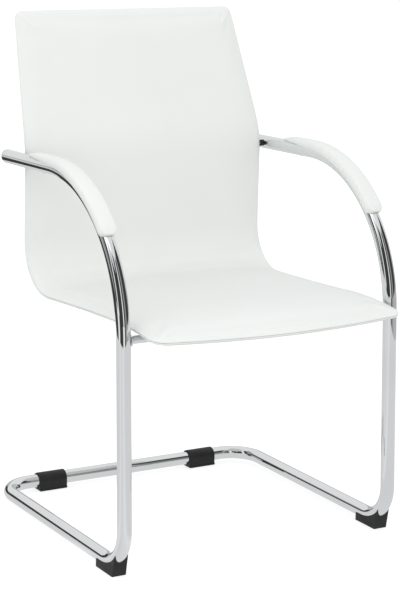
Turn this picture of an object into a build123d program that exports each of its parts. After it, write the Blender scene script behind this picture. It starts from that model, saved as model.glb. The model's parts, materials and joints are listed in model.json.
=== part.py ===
"""Cantilever armchair: a bent chrome tube frame that carries a one-piece upholstered seat and back."""
from build123d import *
import math
import os

# Driving dimensions, in millimetres and degrees. X runs to the right, Y from the front to the rear.
# While the pieces are made, Y is measured from the rear tube's centre line and Z from the floor.

# Bent tube frame
tube_diameter = 25.0
tube_wall = 1.8
arm_gap = 6.5
rail_length = 501.5
floor_gap = 5.0
upright_lean = 2.46
arm_corner_height = 668.0
arm_slope = 1.6
arm_end_setback = 27.0
arm_bend_radius = 261.0
front_bend_radius = 65.0
rear_bend_radius = 58.0

# Joints of the rear tube, under the rear glides
joint_inset = 105.0
spigot_length = 90.0
spigot_wall = 2.0
slide_clearance = 0.1

# Crossbar that carries the seat's front
crossbar_diameter = 14.0
crossbar_wall = 1.5
weld_leg = 4.0
weld_gap = 0.05

# Front feet and rear glides
foot_width = 26.5
foot_length = 60.0
foot_front_setback = 20.5
foot_front_height = 42.0
foot_front_rake = 8.0
foot_wall_drop = 3.5
foot_corner_radius = 3.0
foot_screw_setback = 51.0
glide_length = 57.0
glide_wall = 3.0
glide_foot_height = 4.0
glide_foot_flare = 1.5

# End caps of the arms
cap_thickness = 3.5
cap_round = 2.5
cap_plug_length = 14.0

# Rim line of the shell, seen from the side: seat, lower back and leaning upper back
back_setback = 60.0
seat_corner_height = 410.2
seat_rise = 2.6
seat_front_drop = 14.0
seat_front_margin = 35.4
seat_front_radius = 800.0
seat_bend_radius = 85.0
lumbar_height = 677.0
lumbar_radius = 150.0
back_lean = 21.5
back_length = 256.0
rim_overrun = 28.0

# Outline of the shell, seen from the front and from above
shell_width = 502.0
top_taper = 20.0
top_corner_radius = 14.0
taper_start = 12.0
taper_radius = 300.0
seat_edge = 552.0
seat_bow = 22.0
seat_corner_radius = 28.0

# Thickness of the shell on both sides of its rim line
front_depth = 10.0
rear_depth = 6.0
crown_height = 5.0
edge_land = 1.0
cover_thickness = 1.2

# Steel frame and webbing inside the shell
inner_tube_diameter = 12.0
inner_tube_wall = 1.5
inner_side_margin = 38.0
inner_tube_lift = 2.0
inner_top_margin = 24.0
inner_front_margin = 24.0
seat_rear_bar_setback = 200.0
front_bar_depth = 24.0
front_bar_height = 6.0
strap_width = 45.0
strap_thickness = 1.8
back_strap_places = (45.0, 105.0, 165.0, 305.0, 365.0)
seat_strap_places = (645.0, 705.0, 765.0)

# Fastenings
bolt_diameter = 6.0
bolt_head_diameter = 10.5
bolt_head_height = 3.0
bolt_head_round = 1.5
bolt_clearance = 0.3
thread_clearance = 0.05
socket_size = 4.0
socket_depth = 1.8
arm_spacer_diameter = 14.0
arm_bolt_reach = 22.0
saddle_length = 34.0
saddle_height = 1.5
saddle_wrap = 5.0
saddle_wall = 2.0
seat_bolt_spacing = 260.0
screw_diameter = 4.0
screw_head_diameter = 7.5
screw_head_height = 2.4
screw_grip = 5.0

# Arm pads
pad_width = 32.0
pad_height = 9.0
pad_skirt = 3.0
pad_side_bulge = 0.095
pad_shoulder_share = 0.65
pad_shoulder_width = 0.91
pad_tip_width = 8.0
pad_tip_height = 2.2
pad_tip_skirt = 12.0
pad_foam_setback = 20.0
pad_straight_length = 93.0
pad_arc_length = 232.0
pad_nose_length = 14.0
pad_nose_fullness = 0.75
pad_rise_length = 45.0
pad_taper_length = 200.0
pad_stations = 14
pad_station_power = 1.5
pad_nose_stations = 3
pad_base_width = 14.0
pad_base_height = 2.0
pad_base_wrap = 2.5
pad_base_rear_margin = 45.0
pad_base_front_margin = 16.0
pad_screw_margin = 16.0

# Values that follow from the driving dimensions
tube_radius = tube_diameter / 2
tube_bore = tube_diameter - 2 * tube_wall
half_shell = shell_width / 2
half_top = half_shell - top_taper
half_track = half_shell + arm_gap + tube_radius
rail_height = floor_gap + tube_radius
half_joint = half_track - joint_inset
bolt_radius = bolt_diameter / 2
inner_tube_radius = inner_tube_diameter / 2
half_inner_spacing = half_shell - inner_side_margin
inner_tube_spacing = 2 * half_inner_spacing
inner_front_setback = seat_edge - inner_front_margin
seat_front_corner = seat_edge - seat_front_margin
lean = math.radians(back_lean)
rise = math.radians(seat_rise)
drop = math.radians(seat_front_drop)
arm_fall = math.radians(arm_slope)


def upright_y(height):
    """Y of an upright's centre line at a height."""
    return -rail_length + math.tan(math.radians(upright_lean)) * (height - rail_height)


arm_corner_y = upright_y(arm_corner_height)
arm_end_y = -arm_end_setback


def arm_height(y):
    """Height of an arm's straight rear part on its centre line."""
    return arm_corner_height - math.tan(arm_fall) * (y - arm_corner_y)


def span_box(low, high):
    """Box between two corners."""
    sizes = [b - a for a, b in zip(low, high)]
    middle = [(a + b) / 2 for a, b in zip(low, high)]
    return Pos(*middle) * Box(*sizes)


def rod(start, end, radius):
    """Cylinder between two points."""
    axis = Vector(*end) - Vector(*start)
    return extrude(Plane(origin=start, z_dir=axis) * Circle(radius), amount=axis.length)


def hollow(path, radius, wall):
    """Tube of a wall along a path."""
    section = Plane(origin=path @ 0, z_dir=path % 0) * (Circle(radius) - Circle(radius - wall))
    return sweep(section, path=path)


def solid_along(path, radius):
    """Round bar along a path, for cutting what seats on a tube."""
    return sweep(Plane(origin=path @ 0, z_dir=path % 0) * Circle(radius), path=path)


# Frame

def side_path(side):
    """Centre line of a side tube: arm, front upright, floor rail and half of the rear run."""
    x = side * half_track
    points = [
        (x, arm_end_y, arm_height(arm_end_y)),
        (x, arm_corner_y, arm_corner_height),
        (x, -rail_length, rail_height),
        (x, 0, rail_height),
        (side * half_joint, 0, rail_height),
    ]
    return FilletPolyline(*points, radius=[arm_bend_radius, front_bend_radius, rear_bend_radius])


def make_side_tube(side):
    """Bent tube of one side, with the holes of its bolt and screws."""
    tube = hollow(side_path(side), tube_radius, tube_wall)
    tube -= arm_bolt_hole(side)
    for place in pad_screw_places():
        tube -= pad_screw_hole(side, place)
    return tube - foot_screw_hole(side)


def make_rear_tube():
    """Straight tube between the two joints at the rear."""
    path = Line((-half_joint, 0, rail_height), (half_joint, 0, rail_height))
    return hollow(path, tube_radius, tube_wall)


def make_spigots():
    """Inner sleeves that join the rear tube to the side tubes."""
    sleeves = []
    for side in (-1, 1):
        start = (side * half_joint - spigot_length / 2, 0, rail_height)
        end = (side * half_joint + spigot_length / 2, 0, rail_height)
        sleeves.append(hollow(Line(start, end), tube_bore / 2 - slide_clearance, spigot_wall))
    return sleeves


def make_end_cap(side):
    """Domed plug in the rear end of an arm."""
    path = side_path(side)
    plane = Plane(origin=path @ 0, z_dir=-(path % 0))
    disc = extrude(plane * Circle(tube_radius), amount=cap_thickness)
    disc = fillet(disc.edges().filter_by(GeomType.CIRCLE).sort_by(Axis.Y)[-1], cap_round)
    plug = extrude(plane * Circle(tube_bore / 2 - slide_clearance), amount=-cap_plug_length)
    return disc + plug


# Rim line of the shell

def rim_corners():
    """Corners of the rim line in the side view, as (y, z), from the top to the front."""
    over = back_length + rim_overrun
    top = (-back_setback + over * math.sin(lean), lumbar_height + over * math.cos(lean))
    lumbar = (-back_setback, lumbar_height)
    bend = (-back_setback, seat_corner_height)
    front_z = seat_corner_height + math.tan(rise) * (seat_front_corner - back_setback)
    front = (-seat_front_corner, front_z)
    tangent = seat_front_radius * math.tan((rise + drop) / 2)
    reach = tangent + rim_overrun
    tip = (-seat_front_corner - reach * math.cos(drop), front_z - reach * math.sin(drop))
    return [top, lumbar, bend, front, tip]


def offset_corners(lift):
    """The same corners on a line at a distance in front of the rim line."""
    corners = rim_corners()
    lines = []
    for (y0, z0), (y1, z1) in zip(corners, corners[1:]):
        length = math.hypot(y1 - y0, z1 - z0)
        along = ((y1 - y0) / length, (z1 - z0) / length)
        normal = (along[1], -along[0])
        lines.append(((y0 + lift * normal[0], z0 + lift * normal[1]), along, normal))
    moved = [lines[0][0]]
    for (p, along, _), (q, _, normal) in zip(lines, lines[1:]):
        gap = (q[0] - p[0]) * normal[0] + (q[1] - p[1]) * normal[1]
        step = gap / (along[0] * normal[0] + along[1] * normal[1])
        moved.append((p[0] + step * along[0], p[1] + step * along[1]))
    last = lines[-1][2]
    moved.append((corners[-1][0] + lift * last[0], corners[-1][1] + lift * last[1]))
    return moved


def rim_path(lift=0.0):
    """Side profile of the shell at a distance in front of the rim line, in the middle plane."""
    points = [(0, y, z) for y, z in offset_corners(lift)]
    radii = [lumbar_radius + lift, seat_bend_radius - lift, seat_front_radius + lift]
    return FilletPolyline(*points, radius=radii)


def seat_height(y, lift=0.0):
    """Height of the profile at a place on the seat's front curve."""
    corner_y, corner_z = rim_corners()[3]
    tangent = seat_front_radius * math.tan((rise + drop) / 2)
    start_y = corner_y + tangent * math.cos(rise)
    start_z = corner_z - tangent * math.sin(rise)
    centre_y = start_y - seat_front_radius * math.sin(rise)
    centre_z = start_z - seat_front_radius * math.cos(rise)
    return centre_z + math.sqrt((seat_front_radius + lift) ** 2 - (y - centre_y) ** 2)


# Places where the shell meets the frame
crossbar_y = upright_y(seat_corner_height)
crossbar_z = seat_height(crossbar_y, -rear_depth) - saddle_height - crossbar_diameter / 2
arm_bolt_y = -back_setback - inner_tube_lift
arm_bolt_z = arm_height(arm_bolt_y)
half_seat_bolts = seat_bolt_spacing / 2


def make_crossbar():
    """Cross tube between the uprights, with its weld fillets and the seat bolts' holes."""
    radius = crossbar_diameter / 2
    start = (-half_track, crossbar_y, crossbar_z)
    end = (half_track, crossbar_y, crossbar_z)
    bar = hollow(Line(start, end), radius, crossbar_wall)
    for side in (-1, 1):
        face_x = side * (half_track - tube_radius)
        plane = Plane(origin=(face_x, crossbar_y, crossbar_z), z_dir=(-side, 0, 0))
        ring = plane * (Circle(radius + weld_leg) - Circle(radius))
        weld = extrude(ring, amount=weld_leg, taper=45)
        root = extrude(ring, amount=-tube_radius)
        bar += weld + root
        bar -= solid_along(side_path(side), tube_radius + weld_gap)
        bar -= seat_bolt_hole(side)
    return bar.solids().sort_by(SortBy.VOLUME)[-1]


# Shell

def crowned_section(front, rear, half_width):
    """Cross-section of the padded shell: flat behind, gently crowned in front."""
    reach = half_width + rim_overrun
    radius = (half_width ** 2 + crown_height ** 2) / (2 * crown_height)
    reach_front = front + crown_height - radius + math.sqrt(radius ** 2 - reach ** 2)
    crown = ThreePointArc((-reach, reach_front), (0, front + crown_height), (reach, reach_front))
    back = Polyline((reach, reach_front), (reach, -rear), (-reach, -rear), (-reach, reach_front))
    return make_face(crown.edges() + back.edges())


def outline_prism(inset):
    """Prism over the shell's outline: the seat from above and the back square to its lean."""
    half = half_shell - inset
    top = half_top - inset
    edge = seat_edge - inset
    sides = Polyline((-half, -edge), (-half, back_setback), (half, back_setback), (half, -edge))
    bow = ThreePointArc((half, -edge), (0, -edge - seat_bow), (-half, -edge))
    plan = make_face(sides.edges() + bow.edges())
    plan = fillet(plan.vertices().group_by(Axis.Y)[0], seat_corner_radius - inset)
    seat = extrude(plan, amount=lumbar_height - lumbar_radius / 2)
    normal = (0, -math.cos(lean), math.sin(lean))
    plane = Plane(origin=(0, -back_setback, lumbar_height), x_dir=(1, 0, 0), z_dir=normal)
    low = -lumbar_radius
    high = back_length - inset
    points = [(-half, low), (half, low), (half, taper_start), (top, high),
              (-top, high), (-half, taper_start), (-half, low)]
    front = make_face(Polyline(*points).edges())
    levels = front.vertices().group_by(Axis.Y)
    front = fillet(levels[1], taper_radius)
    front = fillet(front.vertices().group_by(Axis.Y)[-1], top_corner_radius - inset)
    back = extrude(plane * front, amount=lumbar_radius, both=True)
    return seat + back


def rim_edges(body, front, rear):
    """Edges round the front and round the rear of the shell."""
    middle_line = rim_path()
    front_line = rim_path(front)
    rear_line = rim_path(-rear)
    top_z = lumbar_height + (back_length - inner_top_margin) * math.cos(lean)
    tolerance = edge_land / 4
    front_edges = []
    rear_edges = []
    for edge in body.edges():
        point = edge @ 0.5
        if abs(point.X) < half_inner_spacing and point.Z < top_z and point.Y > -inner_front_setback:
            continue
        flat = Vertex(0, point.Y, point.Z)
        to_front = front_line.distance_to(flat)
        to_rear = rear_line.distance_to(flat)
        if to_rear < tolerance:
            rear_edges.append(edge)
        elif to_front < to_rear and middle_line.distance_to(flat) > front - tolerance:
            front_edges.append(edge)
    return front_edges, rear_edges


def padded_band(front, rear, half_width):
    """Crowned section carried along the rim line: straight runs extruded, bends revolved."""
    path = rim_path()
    band = None
    for edge in path.edges().sort_by(path):
        start = edge @ 0
        along = edge % 0
        plane = Plane(origin=start, x_dir=(1, 0, 0), z_dir=along)
        section = plane * crowned_section(front, rear, half_width)
        if edge.geom_type == GeomType.LINE:
            run = extrude(section, amount=edge.length)
        else:
            arm = start - edge.arc_center
            turn = math.degrees(edge.length / edge.radius)
            run = revolve(section, axis=Axis(edge.arc_center, arm.cross(along)), revolution_arc=turn)
        band = run if band is None else band + run
    return band


def shell_form(inset):
    """Padded shell as one body, drawn in on all sides by an inset."""
    front = front_depth - inset
    rear = rear_depth - inset
    body = padded_band(front, rear, half_shell - inset) & outline_prism(inset)
    front_edges, rear_edges = rim_edges(body, front, rear)
    body = fillet(front_edges, front - edge_land)
    rear_edges = rim_edges(body, front, rear)[1]
    return fillet(rear_edges, rear - edge_land)


def front_side():
    """Everything in front of and above the rim line."""
    path = rim_path()
    top = path @ 0
    tip = path @ 1
    high = top.Z + rim_overrun
    rest = Polyline(tip, (0, tip.Y, high), (0, top.Y, high), top)
    face = make_face(path.edges() + rest.edges())
    return extrude(face, amount=half_track, both=True, dir=(1, 0, 0))


# Steel frame inside the shell

def inner_path(side):
    """Centre line of an inner side tube, from below the shell's top to behind its front edge."""
    x = side * half_inner_spacing
    whole = Wire((Pos(x, 0, 0) * rim_path(inner_tube_lift)).edges())
    start = (rim_overrun + inner_top_margin) / whole.length
    front_y = -inner_front_setback
    end = whole.param_at_point((x, front_y, seat_height(front_y, inner_tube_lift)))
    return whole.trim(start, end)


def inner_plane(distance):
    """Plane across the inner frame at a distance along its side tubes, with Z to the front."""
    path = inner_path(1)
    point = path.position_at(distance, position_mode=PositionMode.LENGTH)
    along = path.tangent_at(distance, position_mode=PositionMode.LENGTH)
    normal = along.cross(Vector(1, 0, 0))
    return Plane(origin=(0, point.Y, point.Z), x_dir=(1, 0, 0), z_dir=normal)


def make_inner_tubes():
    """The two bent side tubes inside the shell, as left and right."""
    tubes = []
    for side in (-1, 1):
        tubes.append(hollow(inner_path(side), inner_tube_radius, inner_tube_wall))
    return tubes


def inner_cores():
    """The inner side tubes as full bars."""
    return [solid_along(inner_path(side), inner_tube_radius) for side in (-1, 1)]


def inner_bar(y, z, cores):
    """Straight cross tube between the inner side tubes."""
    line = Line((-half_inner_spacing, y, z), (half_inner_spacing, y, z))
    bar = hollow(line, inner_tube_radius, inner_tube_wall)
    for core in cores:
        bar -= core
    return bar.solids().sort_by(SortBy.VOLUME)[-1]


def make_inner_bars(cores):
    """Cross tubes at the top, at the arms and behind the seat, and the flat bar at the front."""
    top = inner_plane(inner_tube_radius).origin
    slope_z = seat_corner_height + math.tan(rise) * (seat_rear_bar_setback - back_setback)
    rear_z = slope_z + inner_tube_lift / math.cos(rise)
    front_z = seat_height(crossbar_y, inner_tube_lift)
    flat = Pos(0, crossbar_y, front_z) * Box(inner_tube_spacing, front_bar_depth, front_bar_height)
    for core in cores:
        flat -= core
    for side in (-1, 1):
        flat -= seat_bolt_hole(side, thread_clearance)
    return {
        "top_bar": inner_bar(top.Y, top.Z, cores),
        "arm_level_bar": inner_bar(arm_bolt_y, arm_bolt_z, cores),
        "seat_rear_bar": inner_bar(-seat_rear_bar_setback, rear_z, cores),
        "seat_front_bar": flat.solids().sort_by(SortBy.VOLUME)[-1],
    }


def make_bushes(cores):
    """Threaded bushes on the inner side tubes for the arm bolts."""
    bushes = []
    for side, core in zip((-1, 1), cores):
        start = (side * half_inner_spacing, arm_bolt_y, arm_bolt_z)
        end = (side * (half_shell - front_depth - edge_land), arm_bolt_y, arm_bolt_z)
        bush = rod(start, end, inner_tube_radius) - core - arm_bolt_hole(side, thread_clearance)
        bushes.append(bush.solids().sort_by(SortBy.VOLUME)[-1])
    return bushes


def make_straps(places, cores):
    """Elastic straps between the inner side tubes."""
    straps = []
    for place in places:
        strap = inner_plane(place) * Box(inner_tube_spacing, strap_width, strap_thickness)
        for core in cores:
            strap -= core
        straps.append(strap.solids().sort_by(SortBy.VOLUME)[-1])
    return straps


# Fastenings

def socket_bolt(start, along, length):
    """Bolt with a domed head behind its start and a hexagon socket in the head."""
    plane = Plane(origin=start, z_dir=along)
    head = extrude(plane * Circle(bolt_head_diameter / 2), amount=-bolt_head_height)
    outer = head.edges().filter_by(GeomType.CIRCLE).sort_by_distance(plane.origin)[-1]
    head = fillet(outer, bolt_head_round)
    top = plane.offset(-bolt_head_height)
    socket = extrude(top * RegularPolygon(socket_size / 2, 6), amount=socket_depth)
    return head + extrude(plane * Circle(bolt_radius), amount=length) - socket


def arm_bolt_hole(side, clearance=bolt_clearance):
    """Hole of an arm bolt through the inner wall of the arm tube and into the shell."""
    start = (side * half_track, arm_bolt_y, arm_bolt_z)
    end = (side * (half_inner_spacing + inner_tube_radius + clearance), arm_bolt_y, arm_bolt_z)
    return rod(start, end, bolt_radius + clearance)


def make_arm_bolts():
    """Bolts from inside the arms into the shell's bushes, put in through the arms' open ends."""
    bolts = []
    head_seat = math.sqrt((tube_bore ** 2 - bolt_head_diameter ** 2) / 4) - slide_clearance
    for side in (-1, 1):
        start = (side * (half_track - head_seat), arm_bolt_y, arm_bolt_z)
        length = tube_radius - head_seat + arm_gap + arm_bolt_reach
        bolts.append(socket_bolt(start, (-side, 0, 0), length))
    return bolts


def make_arm_spacers():
    """Round spacers between the arms and the shell's edges, cupped to the tube."""
    spacers = []
    for side in (-1, 1):
        start = (side * half_shell, arm_bolt_y, arm_bolt_z)
        end = (side * half_track, arm_bolt_y, arm_bolt_z)
        body = rod(start, end, arm_spacer_diameter / 2)
        body -= solid_along(side_path(side), tube_radius)
        body = body.solids().sort_by_distance(start)[0]
        spacers.append(body - arm_bolt_hole(side))
    return spacers


def seat_bolt_hole(side, clearance=bolt_clearance):
    """Upright hole of a seat bolt through the crossbar and into the shell."""
    x = side * half_seat_bolts
    low = (x, crossbar_y, crossbar_z - crossbar_diameter)
    high = (x, crossbar_y, seat_height(crossbar_y, inner_tube_lift) + front_bar_height)
    return rod(low, high, bolt_radius + clearance)


def make_seat_bolts():
    """Bolts up through the crossbar into the flat bar of the seat."""
    bolts = []
    low = crossbar_z - crossbar_diameter / 2
    high = seat_height(crossbar_y, inner_tube_lift) + front_bar_height / 2
    for side in (-1, 1):
        start = (side * half_seat_bolts, crossbar_y, low)
        bolts.append(socket_bolt(start, (0, 0, 1), high - low))
    return bolts


def make_saddles(shell):
    """Plastic saddles between the crossbar and the seat's underside."""
    radius = crossbar_diameter / 2
    saddles = []
    for side in (-1, 1):
        x = side * half_seat_bolts
        start = (x - saddle_length / 2, crossbar_y, crossbar_z)
        end = (x + saddle_length / 2, crossbar_y, crossbar_z)
        top = crossbar_z + radius + saddle_height + saddle_wall
        low = crossbar_z + radius - saddle_wrap
        wide = radius + saddle_wall
        block = span_box((start[0], crossbar_y - wide, low), (end[0], crossbar_y + wide, top))
        body = block - rod(start, end, radius) - shell - seat_bolt_hole(side)
        saddles.append(body.solids().sort_by(SortBy.VOLUME)[-1])
    return saddles


def countersunk_screw(start, along, length, clearance=0.0):
    """Small screw with a conical head at its start, or with a clearance the open cut that it sits in."""
    radius = screw_diameter / 2 + clearance
    head_radius = screw_head_diameter / 2 + clearance
    lead = screw_head_height if clearance else 0.0
    points = [(0, 0, -lead), (head_radius, 0, -lead), (radius, 0, screw_head_height),
              (radius, 0, length), (0, 0, length)]
    if clearance:
        points.insert(2, (head_radius, 0, 0))
    half = make_face(Polyline(*points, close=True).edges())
    return Plane(origin=start, z_dir=along).location * revolve(half, axis=Axis.Z)


# Feet and glides

def foot_screw_line(side):
    """Start, direction and length of the screw that holds a front foot to the rail."""
    y = -rail_length + foot_front_setback + foot_screw_setback
    return (side * half_track, y, 0), (0, 0, 1), floor_gap + tube_wall + screw_grip


def foot_screw_hole(side):
    """Cut of a foot's screw."""
    return countersunk_screw(*foot_screw_line(side), thread_clearance)


def make_front_foot(side):
    """Wedge-shaped foot that fills the corner under the front bend and cups the tube."""
    front = -rail_length + foot_front_setback
    rear = front + foot_length
    centre_y = -rail_length + front_bend_radius
    centre_z = rail_height + front_bend_radius
    wall_radius = front_bend_radius + foot_wall_drop
    rear_top = rail_height - foot_wall_drop
    points = [(0, front, 0), (0, front - foot_front_rake, foot_front_height),
              (0, centre_y, foot_front_height), (0, rear, foot_front_height), (0, rear, 0)]
    side_view = make_face(Polyline(*points, close=True).edges())
    block = extrude(side_view, amount=foot_width / 2, both=True, dir=(1, 0, 0))
    room = rod((-foot_width, centre_y, centre_z), (foot_width, centre_y, centre_z), wall_radius)
    above = span_box((-foot_width, centre_y, rear_top), (foot_width, rear + foot_length, centre_z))
    block = block - room - above
    uprights = block.edges().filter_by(Axis.X, reverse=True).filter_by_position(
        Axis.Y, front - foot_front_rake, front)
    block = fillet(uprights.sort_by(SortBy.LENGTH)[-2:], foot_corner_radius)
    foot = Pos(side * half_track, 0, 0) * block
    foot -= solid_along(side_path(side), tube_radius)
    return foot.solids().sort_by(SortBy.VOLUME)[-1] - foot_screw_hole(side)


def make_rear_glide(side):
    """Arched sleeve round the rear tube with a flat, slightly wider sole."""
    radius = tube_radius + glide_wall
    arch = Pos(0, rail_height) * Circle(radius)
    legs = Pos(0, rail_height / 2) * Rectangle(2 * radius, rail_height)
    sole_width = 2 * (radius + glide_foot_flare)
    sole = Pos(0, glide_foot_height / 2) * Rectangle(sole_width, glide_foot_height)
    section = arch + legs + sole
    section = fillet(section.vertices().group_by(Axis.Y)[0], glide_foot_flare / 2)
    section -= Pos(0, rail_height) * Circle(tube_radius)
    plane = Plane(origin=(side * half_joint, 0, 0), x_dir=(0, 1, 0), z_dir=(1, 0, 0))
    return extrude(plane * section, amount=glide_length / 2, both=True)


# Arm pads

def pad_plane(side, distance):
    """Plane across the arm at a distance in front of the end of its bend, with Y outwards."""
    turn = max(distance, 0.0) / arm_bend_radius
    tangent = arm_bend_radius * math.tan(math.radians(90 - upright_lean + arm_slope) / 2)
    end_y = arm_corner_y + tangent * math.cos(arm_fall)
    end_z = arm_height(end_y)
    heading = math.pi - arm_fall + turn
    along = (math.cos(heading), math.sin(heading))
    outward = (along[1], -along[0])
    if distance > 0:
        first = math.pi - arm_fall
        centre = (end_y + arm_bend_radius * math.cos(first + math.pi / 2),
                  end_z + arm_bend_radius * math.sin(first + math.pi / 2))
        point = (centre[0] + arm_bend_radius * outward[0], centre[1] + arm_bend_radius * outward[1])
    else:
        point = (end_y + distance * along[0], end_z + distance * along[1])
    return Plane(origin=(side * half_track, *point), x_dir=(side, 0, 0),
                 z_dir=(0, side * along[0], side * along[1]))


def pad_section(half, low, crown, inset):
    """Cross-section of a pad: flat below, bulging sides and a round top."""
    shoulder = low + (crown - low) * pad_shoulder_share
    low = low + inset
    crown = crown - inset
    half = half - inset
    bulge = half * (1 + pad_side_bulge)
    top_half = half * pad_shoulder_width
    right = ThreePointArc((half, low), (bulge, (low + shoulder) / 2), (top_half, shoulder))
    top = ThreePointArc((top_half, shoulder), (0, crown), (-top_half, shoulder))
    left = ThreePointArc((-top_half, shoulder), (-bulge, (low + shoulder) / 2), (-half, low))
    bottom = Line((-half, low), (half, low))
    return make_face(right.edges() + top.edges() + left.edges() + bottom.edges())


def pad_size(distance):
    """Half-width, lower edge and crown of a pad at a distance in front of the end of the arm's bend."""
    reach = distance + pad_straight_length
    rise = math.sin(min(reach / pad_rise_length, 1.0) * math.pi / 2)
    swell = math.sqrt(min(reach / pad_taper_length, 1.0))
    half = (pad_tip_width + (pad_width - pad_tip_width) * swell) / 2
    low = pad_tip_skirt + (pad_skirt - pad_tip_skirt) * swell
    height = pad_tip_height + (pad_height - pad_tip_height) * rise
    over = max(distance - pad_arc_length + pad_nose_length, 0.0) / pad_nose_length
    nose = math.sqrt(1 - (pad_nose_fullness * over) ** 2)
    return half * nose, low, tube_radius + height * (1 + nose) / 2


def pad_places():
    """Distances of a pad's sections, closer together at its tip and along its nose."""
    rear = -pad_straight_length
    nose = pad_arc_length - pad_nose_length
    places = []
    for step in range(pad_stations + 1):
        places.append(rear + (nose - rear) * (step / pad_stations) ** pad_station_power)
    for step in range(1, pad_nose_stations + 1):
        places.append(nose + pad_nose_length * math.sin(math.pi / 2 * step / pad_nose_stations))
    return places


def pad_form(side, inset, rear_setback):
    """Padded arm rest that grows from a thin tip behind to a rounded nose in front."""
    rear = -pad_straight_length + rear_setback
    front = pad_arc_length - inset
    between = [place for place in pad_places() if rear + inset < place < front - inset]
    faces = []
    for place in [rear, *between, front]:
        faces.append(pad_plane(side, place) * pad_section(*pad_size(place), inset))
    return loft(faces, ruled=True)


def pad_sweep(side, section, rear, front):
    """Section swept along the arm from one distance to another."""
    first = pad_plane(side, rear)
    bend = pad_plane(side, 0)
    middle = pad_plane(side, front / 2)
    last = pad_plane(side, front)
    arc = ThreePointArc(bend.origin, middle.origin, last.origin)
    path = Wire([Edge.make_line(first.origin, bend.origin), arc.edge()])
    return sweep(first * section, path=path)


def pad_strip(side):
    """Strip on the arm tube inside the pad, hollowed below to sit on the tube."""
    low = tube_radius - pad_base_wrap
    top = tube_radius + pad_base_height
    section = Pos(0, (low + top) / 2) * Rectangle(pad_base_width, top - low)
    section -= Circle(tube_radius)
    rear = -pad_straight_length + pad_base_rear_margin
    return pad_sweep(side, section, rear, pad_arc_length - pad_base_front_margin)


def make_pad(side, name):
    """Base strip, foam and cover of one arm pad."""
    strip = pad_strip(side)
    rear = -pad_straight_length - tube_diameter
    room = pad_sweep(side, Circle(tube_radius + slide_clearance), rear, pad_arc_length + tube_diameter)
    filling = pad_form(side, cover_thickness, pad_foam_setback)
    foam = filling - room - strip
    cover = pad_form(side, 0.0, 0.0) - filling - room - strip
    holes = [pad_screw_hole(side, place) for place in pad_screw_places()]
    return {
        f"{name}_arm_pad_base": strip - holes,
        f"{name}_arm_pad_foam": foam.solids().sort_by(SortBy.VOLUME)[-1],
        f"{name}_arm_pad_cover": cover.solids().sort_by(SortBy.VOLUME)[-1],
    }


def pad_screw_places():
    """Distances of a pad's two screws from the end of the arm's bend."""
    rear = -pad_straight_length + pad_base_rear_margin + pad_screw_margin
    return rear, pad_arc_length - pad_base_front_margin - pad_screw_margin


def pad_screw_line(side, place):
    """Start, direction and length of a screw up through the arm into the pad's base."""
    plane = pad_plane(side, place)
    start = plane.origin - plane.y_dir * tube_radius
    return start, plane.y_dir, tube_diameter + pad_base_height - slide_clearance


def pad_screw_hole(side, place):
    """Cut of a pad's screw."""
    return countersunk_screw(*pad_screw_line(side, place), thread_clearance)


def make_pad_screws():
    """Screws of both pads."""
    screws = []
    for side in (-1, 1):
        for place in pad_screw_places():
            screws.append(countersunk_screw(*pad_screw_line(side, place)))
    return screws


# Assembly

def make_pieces():
    """All pieces of the chair by name; a list is a group of like pieces."""
    pieces = {}
    cores = inner_cores()
    shell = shell_form(0.0)
    filling = shell_form(cover_thickness)
    front = front_side()
    skin = shell - filling
    bolt_holes = [arm_bolt_hole(-1), arm_bolt_hole(1), seat_bolt_hole(-1), seat_bolt_hole(1)]
    bars = make_inner_bars(cores)
    bushes = make_bushes(cores)
    back_straps = make_straps(back_strap_places, cores)
    seat_straps = make_straps(seat_strap_places, cores)

    for side, name in ((-1, "left"), (1, "right")):
        pieces[f"{name}_side_tube"] = make_side_tube(side)
        pieces[f"{name}_arm_end_cap"] = make_end_cap(side)
        pieces[f"{name}_front_foot"] = make_front_foot(side)
        pieces[f"{name}_rear_glide"] = make_rear_glide(side)
        pieces.update(make_pad(side, name))
    pieces["rear_cross_tube"] = make_rear_tube()
    pieces["joint_spigots"] = make_spigots()
    pieces["seat_crossbar"] = make_crossbar()
    pieces["arm_pad_screws"] = make_pad_screws()
    pieces["front_foot_screws"] = [countersunk_screw(*foot_screw_line(side)) for side in (-1, 1)]

    tubes = make_inner_tubes()
    pieces["left_inner_tube"] = tubes[0]
    pieces["right_inner_tube"] = tubes[1]
    pieces.update(bars)
    pieces["arm_bolt_bushes"] = bushes
    pieces["back_straps"] = back_straps
    pieces["seat_straps"] = seat_straps

    inside = cores + list(bars.values()) + bushes + back_straps + seat_straps + bolt_holes
    front_foam = filling & front
    rear_foam = filling - front
    front_cover = skin & front
    rear_cover = skin - front
    pieces["front_foam"] = (front_foam - inside).solids().sort_by(SortBy.VOLUME)[-1]
    pieces["rear_foam"] = (rear_foam - inside).solids().sort_by(SortBy.VOLUME)[-1]
    pieces["front_cover"] = (front_cover - bolt_holes).solids().sort_by(SortBy.VOLUME)[-1]
    pieces["rear_cover"] = (rear_cover - bolt_holes).solids().sort_by(SortBy.VOLUME)[-1]

    pieces["arm_spacers"] = make_arm_spacers()
    pieces["arm_bolts"] = make_arm_bolts()
    pieces["seat_saddles"] = make_saddles(shell)
    pieces["seat_bolts"] = make_seat_bolts()
    return pieces


def solids_of(piece):
    """Solids of a piece or of a group of pieces."""
    group = piece if isinstance(piece, list) else [piece]
    return [solid for item in group for solid in item.solids()]


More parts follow.
